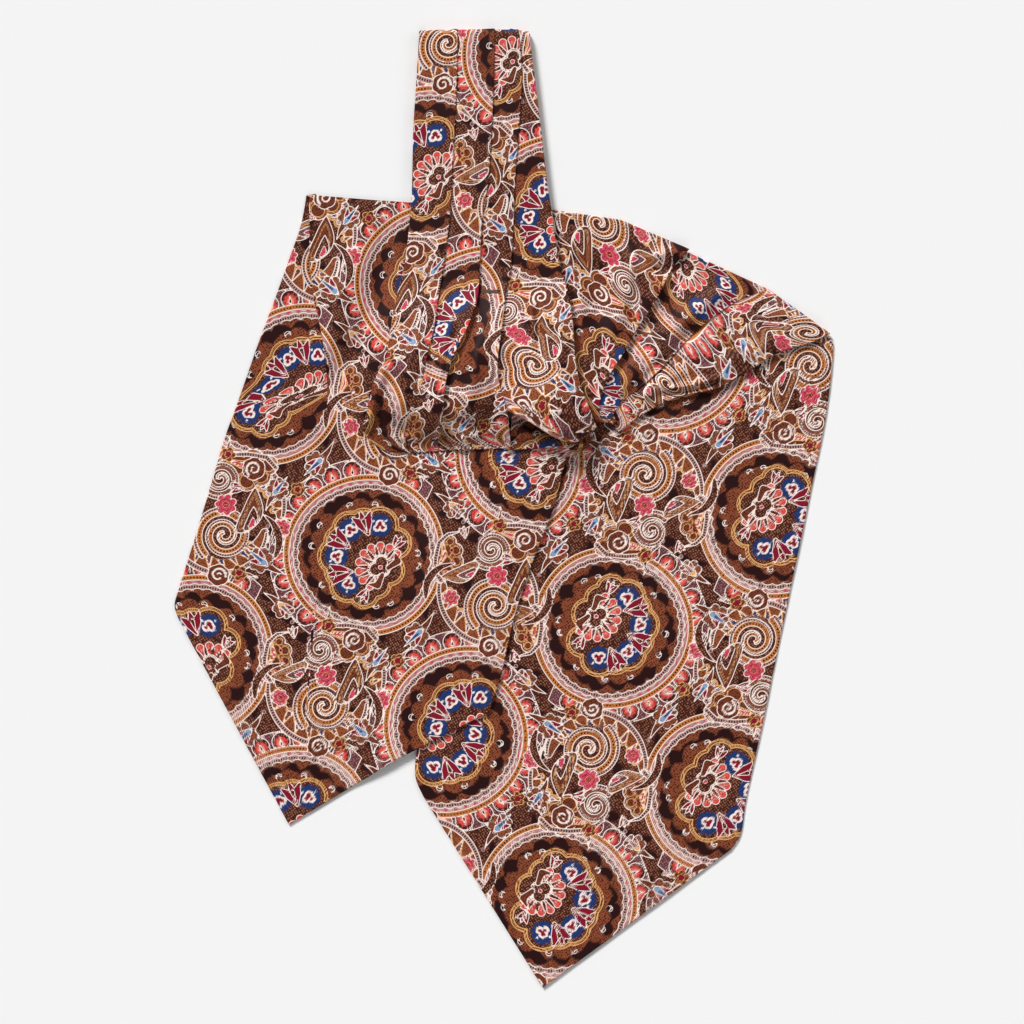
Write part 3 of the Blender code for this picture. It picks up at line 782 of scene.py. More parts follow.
def silkMaterial():
    # printed silk twill: satin light along the folds, fine ribs and crisp screen-printed outlines
    made = bpy.data.materials.new("printed silk twill")
    made.use_nodes = True
    tree = made.node_tree
    shader = tree.nodes["Principled BSDF"]
    read = {}
    for key in ("fill", "dot", "bead", "ink", "line", "reach", "along", "across", "tall", "thread"):
        read[key] = addNode(tree, "ShaderNodeAttribute", {"attribute_name": key})
    thread = read["thread"].outputs["Vector"]
    cells = addNode(tree, "ShaderNodeTexVoronoi", {"feature": "F1"},
                    {"Scale": 1 / silk["dotPitch"], "Randomness": twill["dotDisorder"]}, {"Vector": thread})
    speck = addNode(tree, "ShaderNodeMapRange", {"interpolation_type": "SMOOTHSTEP"},
                    {"From Min": twill["dotShare"] + twill["blur"],
                     "From Max": twill["dotShare"] - twill["blur"]},
                    {"Value": cells.outputs["Distance"]})
    speckShare = addNode(tree, "ShaderNodeMath", {"operation": "MULTIPLY"},
                         links={0: speck.outputs["Result"], 1: read["dot"].outputs["Alpha"]})
    dotted = addNode(tree, "ShaderNodeMix", {"data_type": "RGBA"},
                     links={0: speckShare.outputs[0], 6: read["fill"].outputs["Color"],
                            7: read["dot"].outputs["Color"]})
    phase = addNode(tree, "ShaderNodeMath", {"operation": "FLOORED_MODULO"}, {1: pi},
                    {0: read["along"].outputs["Fac"]})
    centred = addNode(tree, "ShaderNodeMath", {"operation": "SUBTRACT"}, {1: pi / 2}, {0: phase.outputs[0]})
    stretched = addNode(tree, "ShaderNodeMath", {"operation": "DIVIDE"},
                        links={0: centred.outputs[0], 1: read["tall"].outputs["Fac"]})
    spot = addNode(tree, "ShaderNodeCombineXYZ",
                   links={"X": stretched.outputs[0], "Y": read["across"].outputs["Fac"]})
    spotReach = addNode(tree, "ShaderNodeVectorMath", {"operation": "LENGTH"}, links={0: spot.outputs[0]})
    spotMask = addNode(tree, "ShaderNodeMapRange", {},
                       {"From Min": 1 + twill["beadBlur"], "From Max": 1 - twill["beadBlur"]},
                       {"Value": spotReach.outputs["Value"]})
    beadShare = addNode(tree, "ShaderNodeMath", {"operation": "MULTIPLY"},
                        links={0: spotMask.outputs["Result"], 1: read["bead"].outputs["Alpha"]})
    beaded = addNode(tree, "ShaderNodeMix", {"data_type": "RGBA"},
                     links={0: beadShare.outputs[0], 6: dotted.outputs[2], 7: read["bead"].outputs["Color"]})
    # the signed distance draws a crisp line, and the plain one leaves out the middle between two lines
    far = addNode(tree, "ShaderNodeMath", {"operation": "ABSOLUTE"}, links={0: read["line"].outputs["Fac"]})
    nearLine = addNode(tree, "ShaderNodeMapRange", {"interpolation_type": "SMOOTHSTEP"},
                       {"From Min": silk["outline"] + twill["blur"],
                        "From Max": silk["outline"] - twill["blur"]},
                       {"Value": far.outputs[0]})
    closeBy = addNode(tree, "ShaderNodeMath", {"operation": "LESS_THAN"}, {1: silk["lineReach"]},
                      {0: read["reach"].outputs["Fac"]})
    lineMask = addNode(tree, "ShaderNodeMath", {"operation": "MULTIPLY"},
                       links={0: nearLine.outputs["Result"], 1: closeBy.outputs[0]})
    printed = addNode(tree, "ShaderNodeMix", {"data_type": "RGBA"},
                      links={0: lineMask.outputs[0], 6: beaded.outputs[2],
                             7: read["ink"].outputs["Color"]})
    haze = addNode(tree, "ShaderNodeTexNoise", {}, {"Scale": twill["fadeScale"], "Detail": 3.0},
                   {"Vector": thread})
    shade = addNode(tree, "ShaderNodeMapRange", {},
                    {"To Min": 1 - twill["fade"], "To Max": 1 + twill["fade"]},
                    {"Value": haze.outputs["Fac"]})
    toned = addNode(tree, "ShaderNodeVectorMath", {"operation": "SCALE"},
                    links={0: printed.outputs[2], "Scale": shade.outputs["Result"]})
    ribs = addNode(tree, "ShaderNodeTexWave", {"bands_direction": "DIAGONAL"},
                   {"Scale": diagonalScale(twill["ribPitch"]), "Distortion": twill["ribWander"],
                    "Detail": 1.0},
                   {"Vector": thread})
    slub = addNode(tree, "ShaderNodeTexNoise", {}, {"Scale": twill["slubScale"], "Detail": 4.0},
                   {"Vector": thread})
    relief = addNode(tree, "ShaderNodeMath", {"operation": "MULTIPLY_ADD"}, {1: twill["slub"]},
                     {0: slub.outputs["Fac"], 2: ribs.outputs["Fac"]})
    bump = addNode(tree, "ShaderNodeBump", {},
                   {"Strength": twill["ribStrength"], "Distance": twill["ribHeight"]},
                   {"Height": relief.outputs[0]})
    smoother, rougher = twill["glossSpread"]
    gloss = addNode(tree, "ShaderNodeMapRange", {},
                    {"To Min": twill["roughness"] - smoother, "To Max": twill["roughness"] + rougher},
                    {"Value": haze.outputs["Fac"]})
    tree.links.new(toned.outputs[0], shader.inputs["Base Color"])
    tree.links.new(bump.outputs["Normal"], shader.inputs["Normal"])
    tree.links.new(gloss.outputs["Result"], shader.inputs["Roughness"])
    shader.inputs["Specular IOR Level"].default_value = twill["specular"]
    shader.inputs["IOR"].default_value = twill["ior"]
    shader.inputs["Metallic"].default_value = 0.0
    shader.inputs["Sheen Weight"].default_value = twill["sheen"]
    shader.inputs["Sheen Roughness"].default_value = twill["sheenRoughness"]
    return made


def plainMaterial():
    # plain brown silk twill of the undersides and the hidden layers: an even satin with faint ribs
    made = bpy.data.materials.new("plain silk twill")
    made.use_nodes = True
    tree = made.node_tree
    shader = tree.nodes["Principled BSDF"]
    where = addNode(tree, "ShaderNodeTexCoord").outputs["Object"]
    haze = addNode(tree, "ShaderNodeTexNoise", {}, {"Scale": twill["plainFadeScale"], "Detail": 3.0},
                   {"Vector": where})
    tone = addNode(tree, "ShaderNodeMix", {"data_type": "RGBA"},
                   {6: linearColour(silk["brown"]) + [1], 7: linearColour(silk["umber"]) + [1]},
                   {0: haze.outputs["Fac"]})
    ribs = addNode(tree, "ShaderNodeTexWave", {"bands_direction": "DIAGONAL"},
                   {"Scale": diagonalScale(twill["ribPitch"] * mm), "Distortion": twill["ribWander"],
                    "Detail": 1.0},
                   {"Vector": where})
    bump = addNode(tree, "ShaderNodeBump", {},
                   {"Strength": twill["ribStrength"], "Distance": twill["ribHeight"]},
                   {"Height": ribs.outputs["Fac"]})
    tree.links.new(tone.outputs[2], shader.inputs["Base Color"])
    tree.links.new(bump.outputs["Normal"], shader.inputs["Normal"])
    shader.inputs["Roughness"].default_value = twill["roughness"]
    shader.inputs["IOR"].default_value = twill["ior"]
    shader.inputs["Sheen Weight"].default_value = twill["sheen"]
    return made


silkTwill = silkMaterial()
plainTwill = plainMaterial()


def declarePiece(name, meshes, nodes, material=silkTwill):
    piece = joinMeshes(name, meshes)
    piece.data.materials.append(material)
    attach(piece, "root")
    if nodes:
        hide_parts(*nodes)
    print("made", name, len(piece.data.polygons), "faces")
    return piece


# the left blade, on top, with its upper-left fold: each row crosses the blade from its outer edge
# to the fold, the middle and its inner edge, and ends with how far the fold stands up
leftBlade = {
    "lines": (
        ((-93.2, 148.4), (-92.2, 148.6), (-66.0, 146.4), (-40.0, 144.6), 0.3),
        ((-96.0, 134.0), (-91.9, 135.5), (-66.0, 133.0), (-40.5, 131.0), 0.9),
        ((-101.4, 118.0), (-91.7, 117.5), (-67.0, 117.0), (-43.0, 116.0), 1.2),
        ((-108.0, 99.5), (-89.7, 99.5), (-67.5, 100.0), (-46.0, 101.0), 1.2),
        ((-115.5, 79.5), (-85.5, 79.5), (-67.5, 81.5), (-49.5, 83.0), 1.0),
        ((-121.8, 61.5), (-83.8, 61.5), (-68.0, 64.5), (-52.5, 67.0), 0.5),
        ((-127.3, 46.0), (-84.0, 45.0), (-70.0, 46.5), (-59.0, 47.5), 0.0),
        ((-131.5, 34.5), (-85.0, 32.0), (-64.0, 31.5), (34.0, 33.0), 0.0),
        ((-134.8, 23.5), (-85.7, 20.0), (-50.0, 18.0), (28.4, 21.0), 0.0),
        ((-142.6, -2.8), (-88.0, -11.0), (-42.0, -10.0), (23.0, 0.0), 0.0),
        ((-149.0, -23.5), (-91.5, -46.0), (-41.0, -38.0), (14.5, -22.0), 0.0),
        ((-153.8, -38.5), (-95.5, -92.0), (-44.0, -76.0), (5.0, -50.0), 0.0),
        ((-156.0, -46.5), (-99.0, -128.0), (-47.0, -102.5), (-1.5, -78.0), 0.0),
        ((-154.6, -52.0), (-102.0, -149.7), (-50.0, -118.3), (-7.5, -96.5), 0.0),
    ),
    "rows": 470,
    "stripCells": (80,),
    "mainCells": (66, 84),
    "backCells": (20, 20, 40),
    "backHeight": 0.12,
    "edge": 0.6,
    "hiddenDepth": 9.0,
    "opens": 0.5,          # a fold this high hides its full depth of cloth
    "tuck": (0.2, 3),      # how far the strip runs on under the fold, flat and full
    "sink": 0.1,
    "foldRoll": (0.02, 0.38),
    "foldBack": 2.5,
    "stripDip": 0.25,      # the strip sinks this much towards the fold
    "dipFrom": 0.6,
    "foldSwell": 0.8,
    "foldReach": 16.0,
    "ease": 0.28,
    "wave": 0.4,
    "least": 0.7,          # the cloth gets no thinner than this in a crease
    "turn": 0.529,         # of the print, whose roundel is at the origin
    "origin": (-65.8, -22.3),
    # soft creases: points, height, width, fades at the two ends
    "valley": (
        (((1.0, 43.0), (14.0, 41.0), (27.0, 37.5), (38.0, 37.0)), -2.4, 3.4, 0.02, 0.3),
    ),
    "creases": (
        (((-53.0, 143.0), (-58.0, 118.0), (-62.5, 96.0), (-73.0, 70.0), (-87.0, 48.0)), -1.6, 4.6, 0.15,
         0.25),
        (((-66.0, 140.0), (-73.0, 112.0), (-80.0, 84.0), (-92.0, 60.0)), 1.9, 6.0, 0.3, 0.3),
        (((-104.0, 40.0), (-88.0, 27.0), (-70.0, 24.0)), -0.8, 5.0, 0.4, 0.3),
        (((-120.0, -14.0), (-104.0, -40.0), (-96.0, -76.0)), 0.7, 8.0, 0.4, 0.4),
        (((-30.0, 8.0), (-36.0, -30.0), (-30.0, -66.0)), 0.7, 8.0, 0.4, 0.4),
    ),
}

# the right blade, beneath: each row crosses it
rightBlade = {
    "lines": (
        ((-9.0, 36.0), (72.0, 58.6), (150.8, 81.2)),
        ((-9.6, 34.0), (71.4, 54.5), (154.4, 79.6)),
        ((-10.6, 30.0), (70.3, 47.5), (155.6, 74.0)),
        ((-13.0, 17.0), (66.0, 27.0), (152.3, 44.0)),
        ((-17.2, -2.5), (60.0, -6.0), (146.0, 12.5)),
        ((-23.2, -30.5), (52.0, -50.0), (137.4, -29.0)),
        ((-29.2, -58.5), (44.0, -95.0), (128.7, -71.0)),
        ((-35.4, -87.5), (35.5, -140.0), (120.3, -111.0)),
        ((-40.4, -112.0), (27.5, -183.0), (114.6, -137.5)),
        ((-41.8, -127.0), (22.0, -210.0), (112.0, -154.5)),
        ((-38.4, -136.5), (18.5, -227.0), (107.5, -162.0)),
    ),
    "rows": 412,
    "cells": (98, 112),
    "backCells": (30, 30),
    "backHeight": 0.06,
    "edge": 0.62,
    "ease": 0.25,
    "wave": 1.7,
    "turn": 3.726,
    "origin": (51.2, -56.8),
}


def undulation(x, y, size, shift):
    # cloth never lies quite level
    slow = np.sin(x * 0.055 + y * 0.021 + shift) * np.sin(y * 0.043 - x * 0.017 + 2 * shift)
    quick = 0.35 * np.sin(x * 0.13 - y * 0.06 + 3 * shift) * np.sin(y * 0.11 + x * 0.05)
    return size * (slow + quick)


def bladeCloth(piece, lines, shares, cells, seat, lift=None, flatShift=0.0):
    xy = layCloth(lines, shares, cells)[0]
    x, y = xy[..., 0], xy[..., 1]
    z = seat(x, y) + layers["bladeWall"] + undulation(x, y, piece["ease"], piece["wave"])
    if lift:
        z = settled(z + lift(x, y), seat(x, y), piece["least"])
    return {"xyz": np.dstack([x, y, z]), "flat": xy + flatShift}


def bladeBack(piece, seat, rows=100):
    # the blade's second layer, which faces down
    cells = piece["backCells"]
    lines = linesOf(piece["lines"], range(len(cells) + 1))
    xy = layCloth(lines, np.linspace(0, 1, rows + 1), cells)[0]
    z = seat(xy[..., 0], xy[..., 1]) + piece["backHeight"]
    return clothMesh("back", {"xyz": np.dstack([xy, z])[:, ::-1]})


def makeLeftBlade():
    table, rows, edge = leftBlade["lines"], leftBlade["rows"], leftBlade["edge"]
    lines = linesOf(table, range(4))
    shares = evenShares(lines[1], rows + 1)
    rises = heightsAlong([row[4] for row in table], shares)
    fading = ramp(0.0, leftBlade["opens"], rises)
    (tuckLeast, tuckMore), (rollLeast, rollMore) = leftBlade["tuck"], leftBlade["foldRoll"]
    towardsFold = ramp(leftBlade["dipFrom"], 1.0, np.linspace(0, 1, leftBlade["stripCells"][0] + 1))

    def strip(x, y):
        dip = leftBlade["stripDip"] * rises[:, None] * towardsFold[None, :]
        return creasesOf(leftBlade["creases"], x, y) - dip

    def over(x, y):
        run = np.hypot(x - x[:, :1], y - y[:, :1])
        swell = rises[:, None] * np.exp(-run / leftBlade["foldReach"]) * leftBlade["foldSwell"]
        return swell + creasesOf(leftBlade["valley"], x, y) + creasesOf(leftBlade["creases"], x, y)

    shift = np.zeros((rows + 1, 1, 2))
    shift[:, 0, 0] = -2 * leftBlade["hiddenDepth"] * fading
    outer = bladeCloth(leftBlade, lines[:2], shares, leftBlade["stripCells"], onOneLayer, strip, shift)
    outer = foldUnder(outer, "left", edge)
    outer = tuckUnder(outer, "right", tuckLeast + tuckMore * fading, leftBlade["sink"] * fading)
    outer = foldUnder(outer, "bottom", edge)
    main = bladeCloth(leftBlade, lines[1:], shares, leftBlade["mainCells"], onOneLayer, over)
    main = foldUnder(main, "right", edge)
    roll = rollLeast + rollMore * np.minimum(rises, 1.0)
    main = foldUnder(main, "left", roll, back=leftBlade["foldBack"])
    main = foldUnder(main, "bottom", edge)
    declarePiece("left_blade_face", [clothMesh("main", main, leftBlade)], ["left_blade"])
    declarePiece("left_blade_outer_strip", [clothMesh("strip", outer, leftBlade)], ["left_blade"])
    declarePiece("left_blade_back", [bladeBack(leftBlade, onOneLayer)], [],
                 plainTwill)


def makeRightBlade():
    lines = linesOf(rightBlade["lines"], range(3))
    shares = evenShares(lines[1], rightBlade["rows"] + 1)
    face = bladeCloth(rightBlade, lines, shares, rightBlade["cells"], onFloor)
    for side in ("left", "right", "top", "bottom"):
        face = foldUnder(face, side, rightBlade["edge"])
    declarePiece("right_blade_face", [clothMesh("face", face, rightBlade)], ["right_blade"])
    declarePiece("right_blade_back", [bladeBack(rightBlade, onFloor)], [],
                 plainTwill)


# edges of the pleats in both gathers: a fold on the right, and a left edge beneath the pleat before
pleatEdge = {
    "opens": 0.6,          # a pleat this high hides its full depth of cloth
    "roll": (0.03, 0.45),  # radius of a flat pleat's fold, and what a high one adds
    "lap": 2.5,
    "tuck": (0.3, 3.5),
    "sink": 0.25,
    "curve": 1.3,          # more than 1 where a pleat climbs late, close to its fold
}


def paddedTo(values, cloth):
    extra = cloth["xyz"].shape[0] - len(values)
    return np.concatenate([values, np.full(extra, values[-1])]) if extra > 0 else values


def pleatFold(cloth, rises):
    least, more = pleatEdge["roll"]
    radius = least + more * np.minimum(paddedTo(rises, cloth), 1.0)
    return foldUnder(cloth, "right", radius, back=pleatEdge["lap"])


def pleatTuck(cloth, before):
    least, more = pleatEdge["tuck"]
    opened = ramp(0, pleatEdge["opens"], paddedTo(before, cloth))
    return tuckUnder(cloth, "left", least + more * opened, pleatEdge["sink"] * opened)


def hiddenWidth(piece, before):
    # cloth that lies hidden beneath the pleat before
    return 2 * piece["hiddenDepth"] * ramp(0.0, pleatEdge["opens"], before)


def acrossAndAlong(lines, xy, shares, across, hidden, done):
    # flat coordinates of a pleat: widths add up across, runs of the fold lines are blended along
    step = np.linalg.norm(np.diff(xy, axis=1), axis=2)
    width = np.concatenate([np.zeros((len(xy), 1)), np.cumsum(step, axis=1)], axis=1)
    runs = np.stack([lineRun(line, shares) for line in lines], axis=1)
    first = np.minimum(across.astype(int), len(lines) - 2)
    along = runs[:, first] * (1 - (across - first)) + runs[:, first + 1] * (across - first)
    start = done + hidden
    return np.dstack([start[:, None] + width, -along]), start + width[:, -1]


# the neckband's pleated front stretch and the left gather, one cloth from the loop to the transverse
# fold: each row crosses the fold lines of its four pleats and ends with how far they stand up
bandPleats = {
    "lines": (
        ((-39.3, 226.4), (-22.3, 226.9), (-4.7, 227.0), (6.6, 226.6), (11.4, 225.5), (0.7, 0.7, 0.7, 0.4)),
        ((-40.7, 203.0), (-22.7, 203.0), (-5.2, 203.0), (8.1, 203.0), (14.2, 203.0), (1.1, 1.1, 1.1, 0.4)),
        ((-42.2, 179.0), (-23.7, 179.0), (-6.2, 179.0), (6.6, 179.0), (17.1, 179.0), (1.1, 1.2, 1.1, 0.5)),
        ((-42.8, 152.5), (-25.1, 152.5), (-8.1, 152.5), (4.7, 152.5), (20.2, 152.5), (1.1, 1.2, 1.1, 0.7)),
        ((-43.6, 139.0), (-25.8, 139.0), (-10.4, 139.0), (4.3, 139.0), (22.3, 139.0), (1.1, 1.2, 1.1, 0.9)),
        ((-46.2, 116.5), (-28.7, 116.5), (-11.8, 116.5), (3.0, 116.5), (25.6, 116.5), (1.1, 1.3, 1.2, 1.1)),
        ((-49.7, 101.8), (-31.3, 100.0), (-12.8, 99.0), (0.5, 100.9), (30.3, 100.0), (1.1, 1.5, 1.3, 1.1)),
        ((-52.6, 86.7), (-33.2, 85.7), (-17.5, 85.3), (-1.4, 84.3), (32.2, 84.3), (0.9, 1.9, 1.5, 1.3)),
        ((-55.4, 70.1), (-36.5, 71.1), (-24.6, 70.1), (-3.3, 68.7), (33.2, 69.2), (0.4, 2.6, 1.8, 1.5)),
        ((-60.6, 59.7), (-38.8, 57.3), (-27.9, 57.8), (-2.4, 57.8), (35.5, 57.8), (0.1, 3.0, 2.0, 1.6)),
        ((-63.9, 45.5), (-42.2, 44.1), (-28.9, 45.5), (0.9, 46.4), (39.5, 47.5), (0.0, 2.2, 2.0, 1.0)),
        ((-65.8, 35.1), (-45.0, 32.2), (-31.3, 33.6), (2.4, 34.0), (43.1, 38.4), (0.0, 1.2, 1.4, 0.3)),
        ((-54.9, 26.1), (-44.5, 25.1), (-31.7, 26.1), (2.8, 27.5), (43.1, 38.4), (0.0, 0.6, 0.6, 0.3)),
    ),
    "rows": 330,
    "cells": (34, 34, 44, 64),
    "trim": (2.4, 1.1),            # left off at the loop and at the transverse fold for their rolls
    "loopClear": 0.25,             # the loop's roll ends this far above the table
    "fullness": 0.3,               # pleats stand up more from the first place to the second
    "fullFrom": (140.0, 95.0),
    "raisedRows": (5, 11),         # the last pleat lifts off between these rows of the table
    "rimStart": ((0.2, 51.5), (1.8, 46.0)),
    "liftFrom": (0.5, 0.9),
    "liftLeast": 0.45,             # share of the lift that its side edges get
    "bowFrom": (0.68, 1.0),
    "rimBow": (1.5, -9.5),
    "rimRoll": 0.8,
    "bottomRoll": (0.48, 0.3, 1.35),   # share of the thickness, smallest and largest radius
    "leftEdge": 0.75,
    "rightEdge": 0.5,
    "hiddenDepth": 11.0,
    "turn": 0.62,
    "origin": (26.0, 66.0),
    # soft creases: points, height, width, fades at the two ends
    "creases": (
        (((-46.0, 119.8), (-55.4, 70.1), (-63.0, 44.0)), -1.3, 3.0, 0.3, 0.2),
        (((-53.0, 78.0), (-60.0, 56.0), (-65.5, 35.5)), 4.2, 2.4, 0.4, 0.05),
        (((-49.0, 70.0), (-54.0, 54.0), (-59.0, 36.0)), -2.1, 2.6, 0.4, 0.1),
        (((-42.0, 84.0), (-46.0, 60.0), (-51.0, 38.0)), 2.7, 4.0, 0.4, 0.3),
        (((-60.0, 44.0), (-50.0, 36.0), (-38.0, 39.0)), -1.7, 2.8, 0.3, 0.3),
        (((-48.0, 33.0), (-46.0, 29.0), (-45.0, 24.0)), -2.0, 2.6, 0.3, 0.01),
        (((-20.0, 92.0), (-26.0, 70.0), (-28.5, 46.0)), -2.0, 2.4, 0.3, 0.3),
        (((-11.0, 84.0), (-14.0, 62.0), (-20.0, 38.0)), 2.8, 4.2, 0.3, 0.3),
        (((-4.0, 66.0), (-5.0, 48.0), (-11.0, 30.0)), -1.5, 2.6, 0.3, 0.2),
        (((-28.0, 43.0), (-15.0, 37.0), (0.0, 41.0)), -1.4, 2.6, 0.3, 0.3),
        (((-22.0, 35.0), (-20.0, 29.0), (-20.0, 24.0)), 1.9, 3.4, 0.3, 0.01),
        (((-67.0, 38.0), (-57.0, 28.0), (-44.0, 26.0), (-31.0, 27.0), (-16.0, 28.0), (2.0, 29.0)),
         -2.2, 5.0, 0.0, 0.02),
        (((-34.0, 36.0), (-33.0, 30.0), (-32.0, 24.0)), -1.8, 2.4, 0.3, 0.01),
        (((-8.0, 36.0), (-7.0, 30.0), (-6.0, 24.0)), -1.4, 2.6, 0.3, 0.01),
        (((12.3, 98.5), (13.7, 84.3), (15.2, 72.0)), 2.3, 1.5, 0.3, 0.5),
        (((14.9, 98.5), (16.3, 84.3), (17.8, 72.0)), -1.5, 1.6, 0.3, 0.5),
        (((24.0, 98.0), (27.0, 76.0), (31.0, 56.0)), 2.3, 3.2, 0.3, 0.3),
        (((3.0, 100.0), (3.0, 80.0), (2.5, 58.0), (5.0, 44.0)), -1.8, 3.0, 0.4, 0.1),
        (((-29.0, 100.0), (-31.5, 82.0), (-34.0, 66.0), (-35.5, 48.0)), -2.0, 2.8, 0.3, 0.2),
        (((-10.0, 100.0), (-14.5, 84.0), (-21.5, 68.0), (-25.0, 52.0)), -1.8, 2.8, 0.3, 0.2),
        (((18.0, 62.0), (22.0, 48.0), (27.0, 32.0)), 1.7, 4.0, 0.4, 0.1),
    ),
}


def standOff(xy, z, place, across):
    # the last pleat rises off the rest towards its rim, which bows forward
    lift, least = layers["raisedPleat"] * ramp(*bandPleats["liftFrom"], place), bandPleats["liftLeast"]
    bow = ramp(*bandPleats["bowFrom"], place)[:, None] * np.sin(pi * across ** 1.5)[None, :]
    moved = xy + np.dstack([bow * bandPleats["rimBow"][0], bow * bandPleats["rimBow"][1]])
    return moved, z + lift[:, None] * (least + (1 - least) * np.sin(pi * across))[None, :]


def makeBand():
    table, rows = bandPleats["lines"], bandPleats["rows"]
    last, raised = len(table) - 1, len(bandPleats["cells"]) - 1
    liftRow, rimRow = bandPleats["raisedRows"]
    fine = np.linspace(0, 1, rows + 1)
    meshes = []
    done = np.zeros(rows + 1)
    for j, cells in enumerate(bandPleats["cells"]):
        lines = linesOf(table, (j, j + 1))
        guide = lines[0] if j == raised else lines[1]
        length = lineRun(guide, 1.0)
        start = bandPleats["trim"][0] / length
        end = 1.0 if j == raised else 1.0 - bandPleats["trim"][1] / length
        shares = np.interp(start + (end - start) * fine, fine, evenShares(guide, rows + 1))
        if j == raised:
            shares = shares * (rimRow / last)
            lines[0][rimRow - 1:rimRow + 1] = bandPleats["rimStart"]
        alongBand = smoothLine(lines[1], shares)[:, 1]
        fullness = 1 + bandPleats["fullness"] * ramp(*bandPleats["fullFrom"], alongBand)
        rises = fullness * heightsAlong([row[5][j] for row in table], shares)
        before = heightsAlong([row[5][j - 1] for row in table], shares) if j else np.zeros(rows + 1)
        xy, across = layCloth(lines, shares, (cells,))
        z = onTwoLayers(xy[..., 0], xy[..., 1]) + layers["gatherWall"]
        z = z + rises[:, None] * across[None, :] ** pleatEdge["curve"]
        if j == raised:
            place = np.clip((shares * last - liftRow) / (rimRow - liftRow), 0, 1)
            xy, z = standOff(xy, z, place, across)
        x, y = xy[..., 0], xy[..., 1]
        z = settled(z + creasesOf(bandPleats["creases"], x, y), onTwoLayers(x, y))
        flat, done = acrossAndAlong(lines, xy, shares, across, hiddenWidth(bandPleats, before), done)
        cloth = {"xyz": np.dstack([x, y, z]), "flat": flat}
        if j == raised:
            cloth = foldUnder(cloth, "bottom", bandPleats["rimRoll"], back=9, backSteps=6)
            cloth = foldUnder(cloth, "right", bandPleats["rightEdge"], back=3)
        else:
            share, least, most = bandPleats["bottomRoll"]
            thick = z[-1] - onTwoLayers(x[-1], y[-1])
            cloth = foldUnder(cloth, "bottom", np.clip(share * thick, least, most), back=6, backSteps=4)
            cloth = pleatFold(cloth, rises)
        cloth = pleatTuck(cloth, before) if j else foldUnder(cloth, "left", bandPleats["leftEdge"], back=3)
        loopRoll = np.maximum((cloth["xyz"][0, :, 2] - bandPleats["loopClear"]) / 2, 0.1)
        cloth = foldUnder(cloth, "top", loopRoll, back=5, steps=9)
        meshes.append(clothMesh("pleat", cloth, bandPleats))
    return declarePiece("band_and_left_gather_silk", meshes,
                        ["neckband_front", "left_gather", "left_raised_pleat"])


# the rear stretch of the neckband, a flat folded strip
backBand = {
    "lines": (
        ((-39.3, 226.4), (11.4, 225.5)),
        ((-36.8, 203.0), (9.8, 203.0)),
        ((-36.8, 160.0), (12.6, 160.0)),
        ((-37.5, 104.0), (16.5, 104.0)),
    ),
    "start": 0.02,         # share of the table where the loop's roll begins
    "height": 2.5,
    "rows": 120,
    "cells": (46,),
    "edge": 1.15,
    "lap": 24,             # cloth turned under along both edges
    "turn": 0.62,
    "origin": (-300.0, -300.0),
}


def makeBackBand():
    shares = np.linspace(backBand["start"], 1, backBand["rows"] + 1)
    xy = layCloth(linesOf(backBand["lines"], (0, 1)), shares, backBand["cells"])[0]
    cloth = {"xyz": np.dstack([xy, np.full(xy.shape[:2], backBand["height"])]), "flat": xy}
    for side in ("left", "right"):
        cloth = foldUnder(cloth, side, backBand["edge"], back=backBand["lap"], backSteps=24)
    declarePiece("neckband_back_silk", [clothMesh("back", cloth, backBand)], ["neckband_back"])


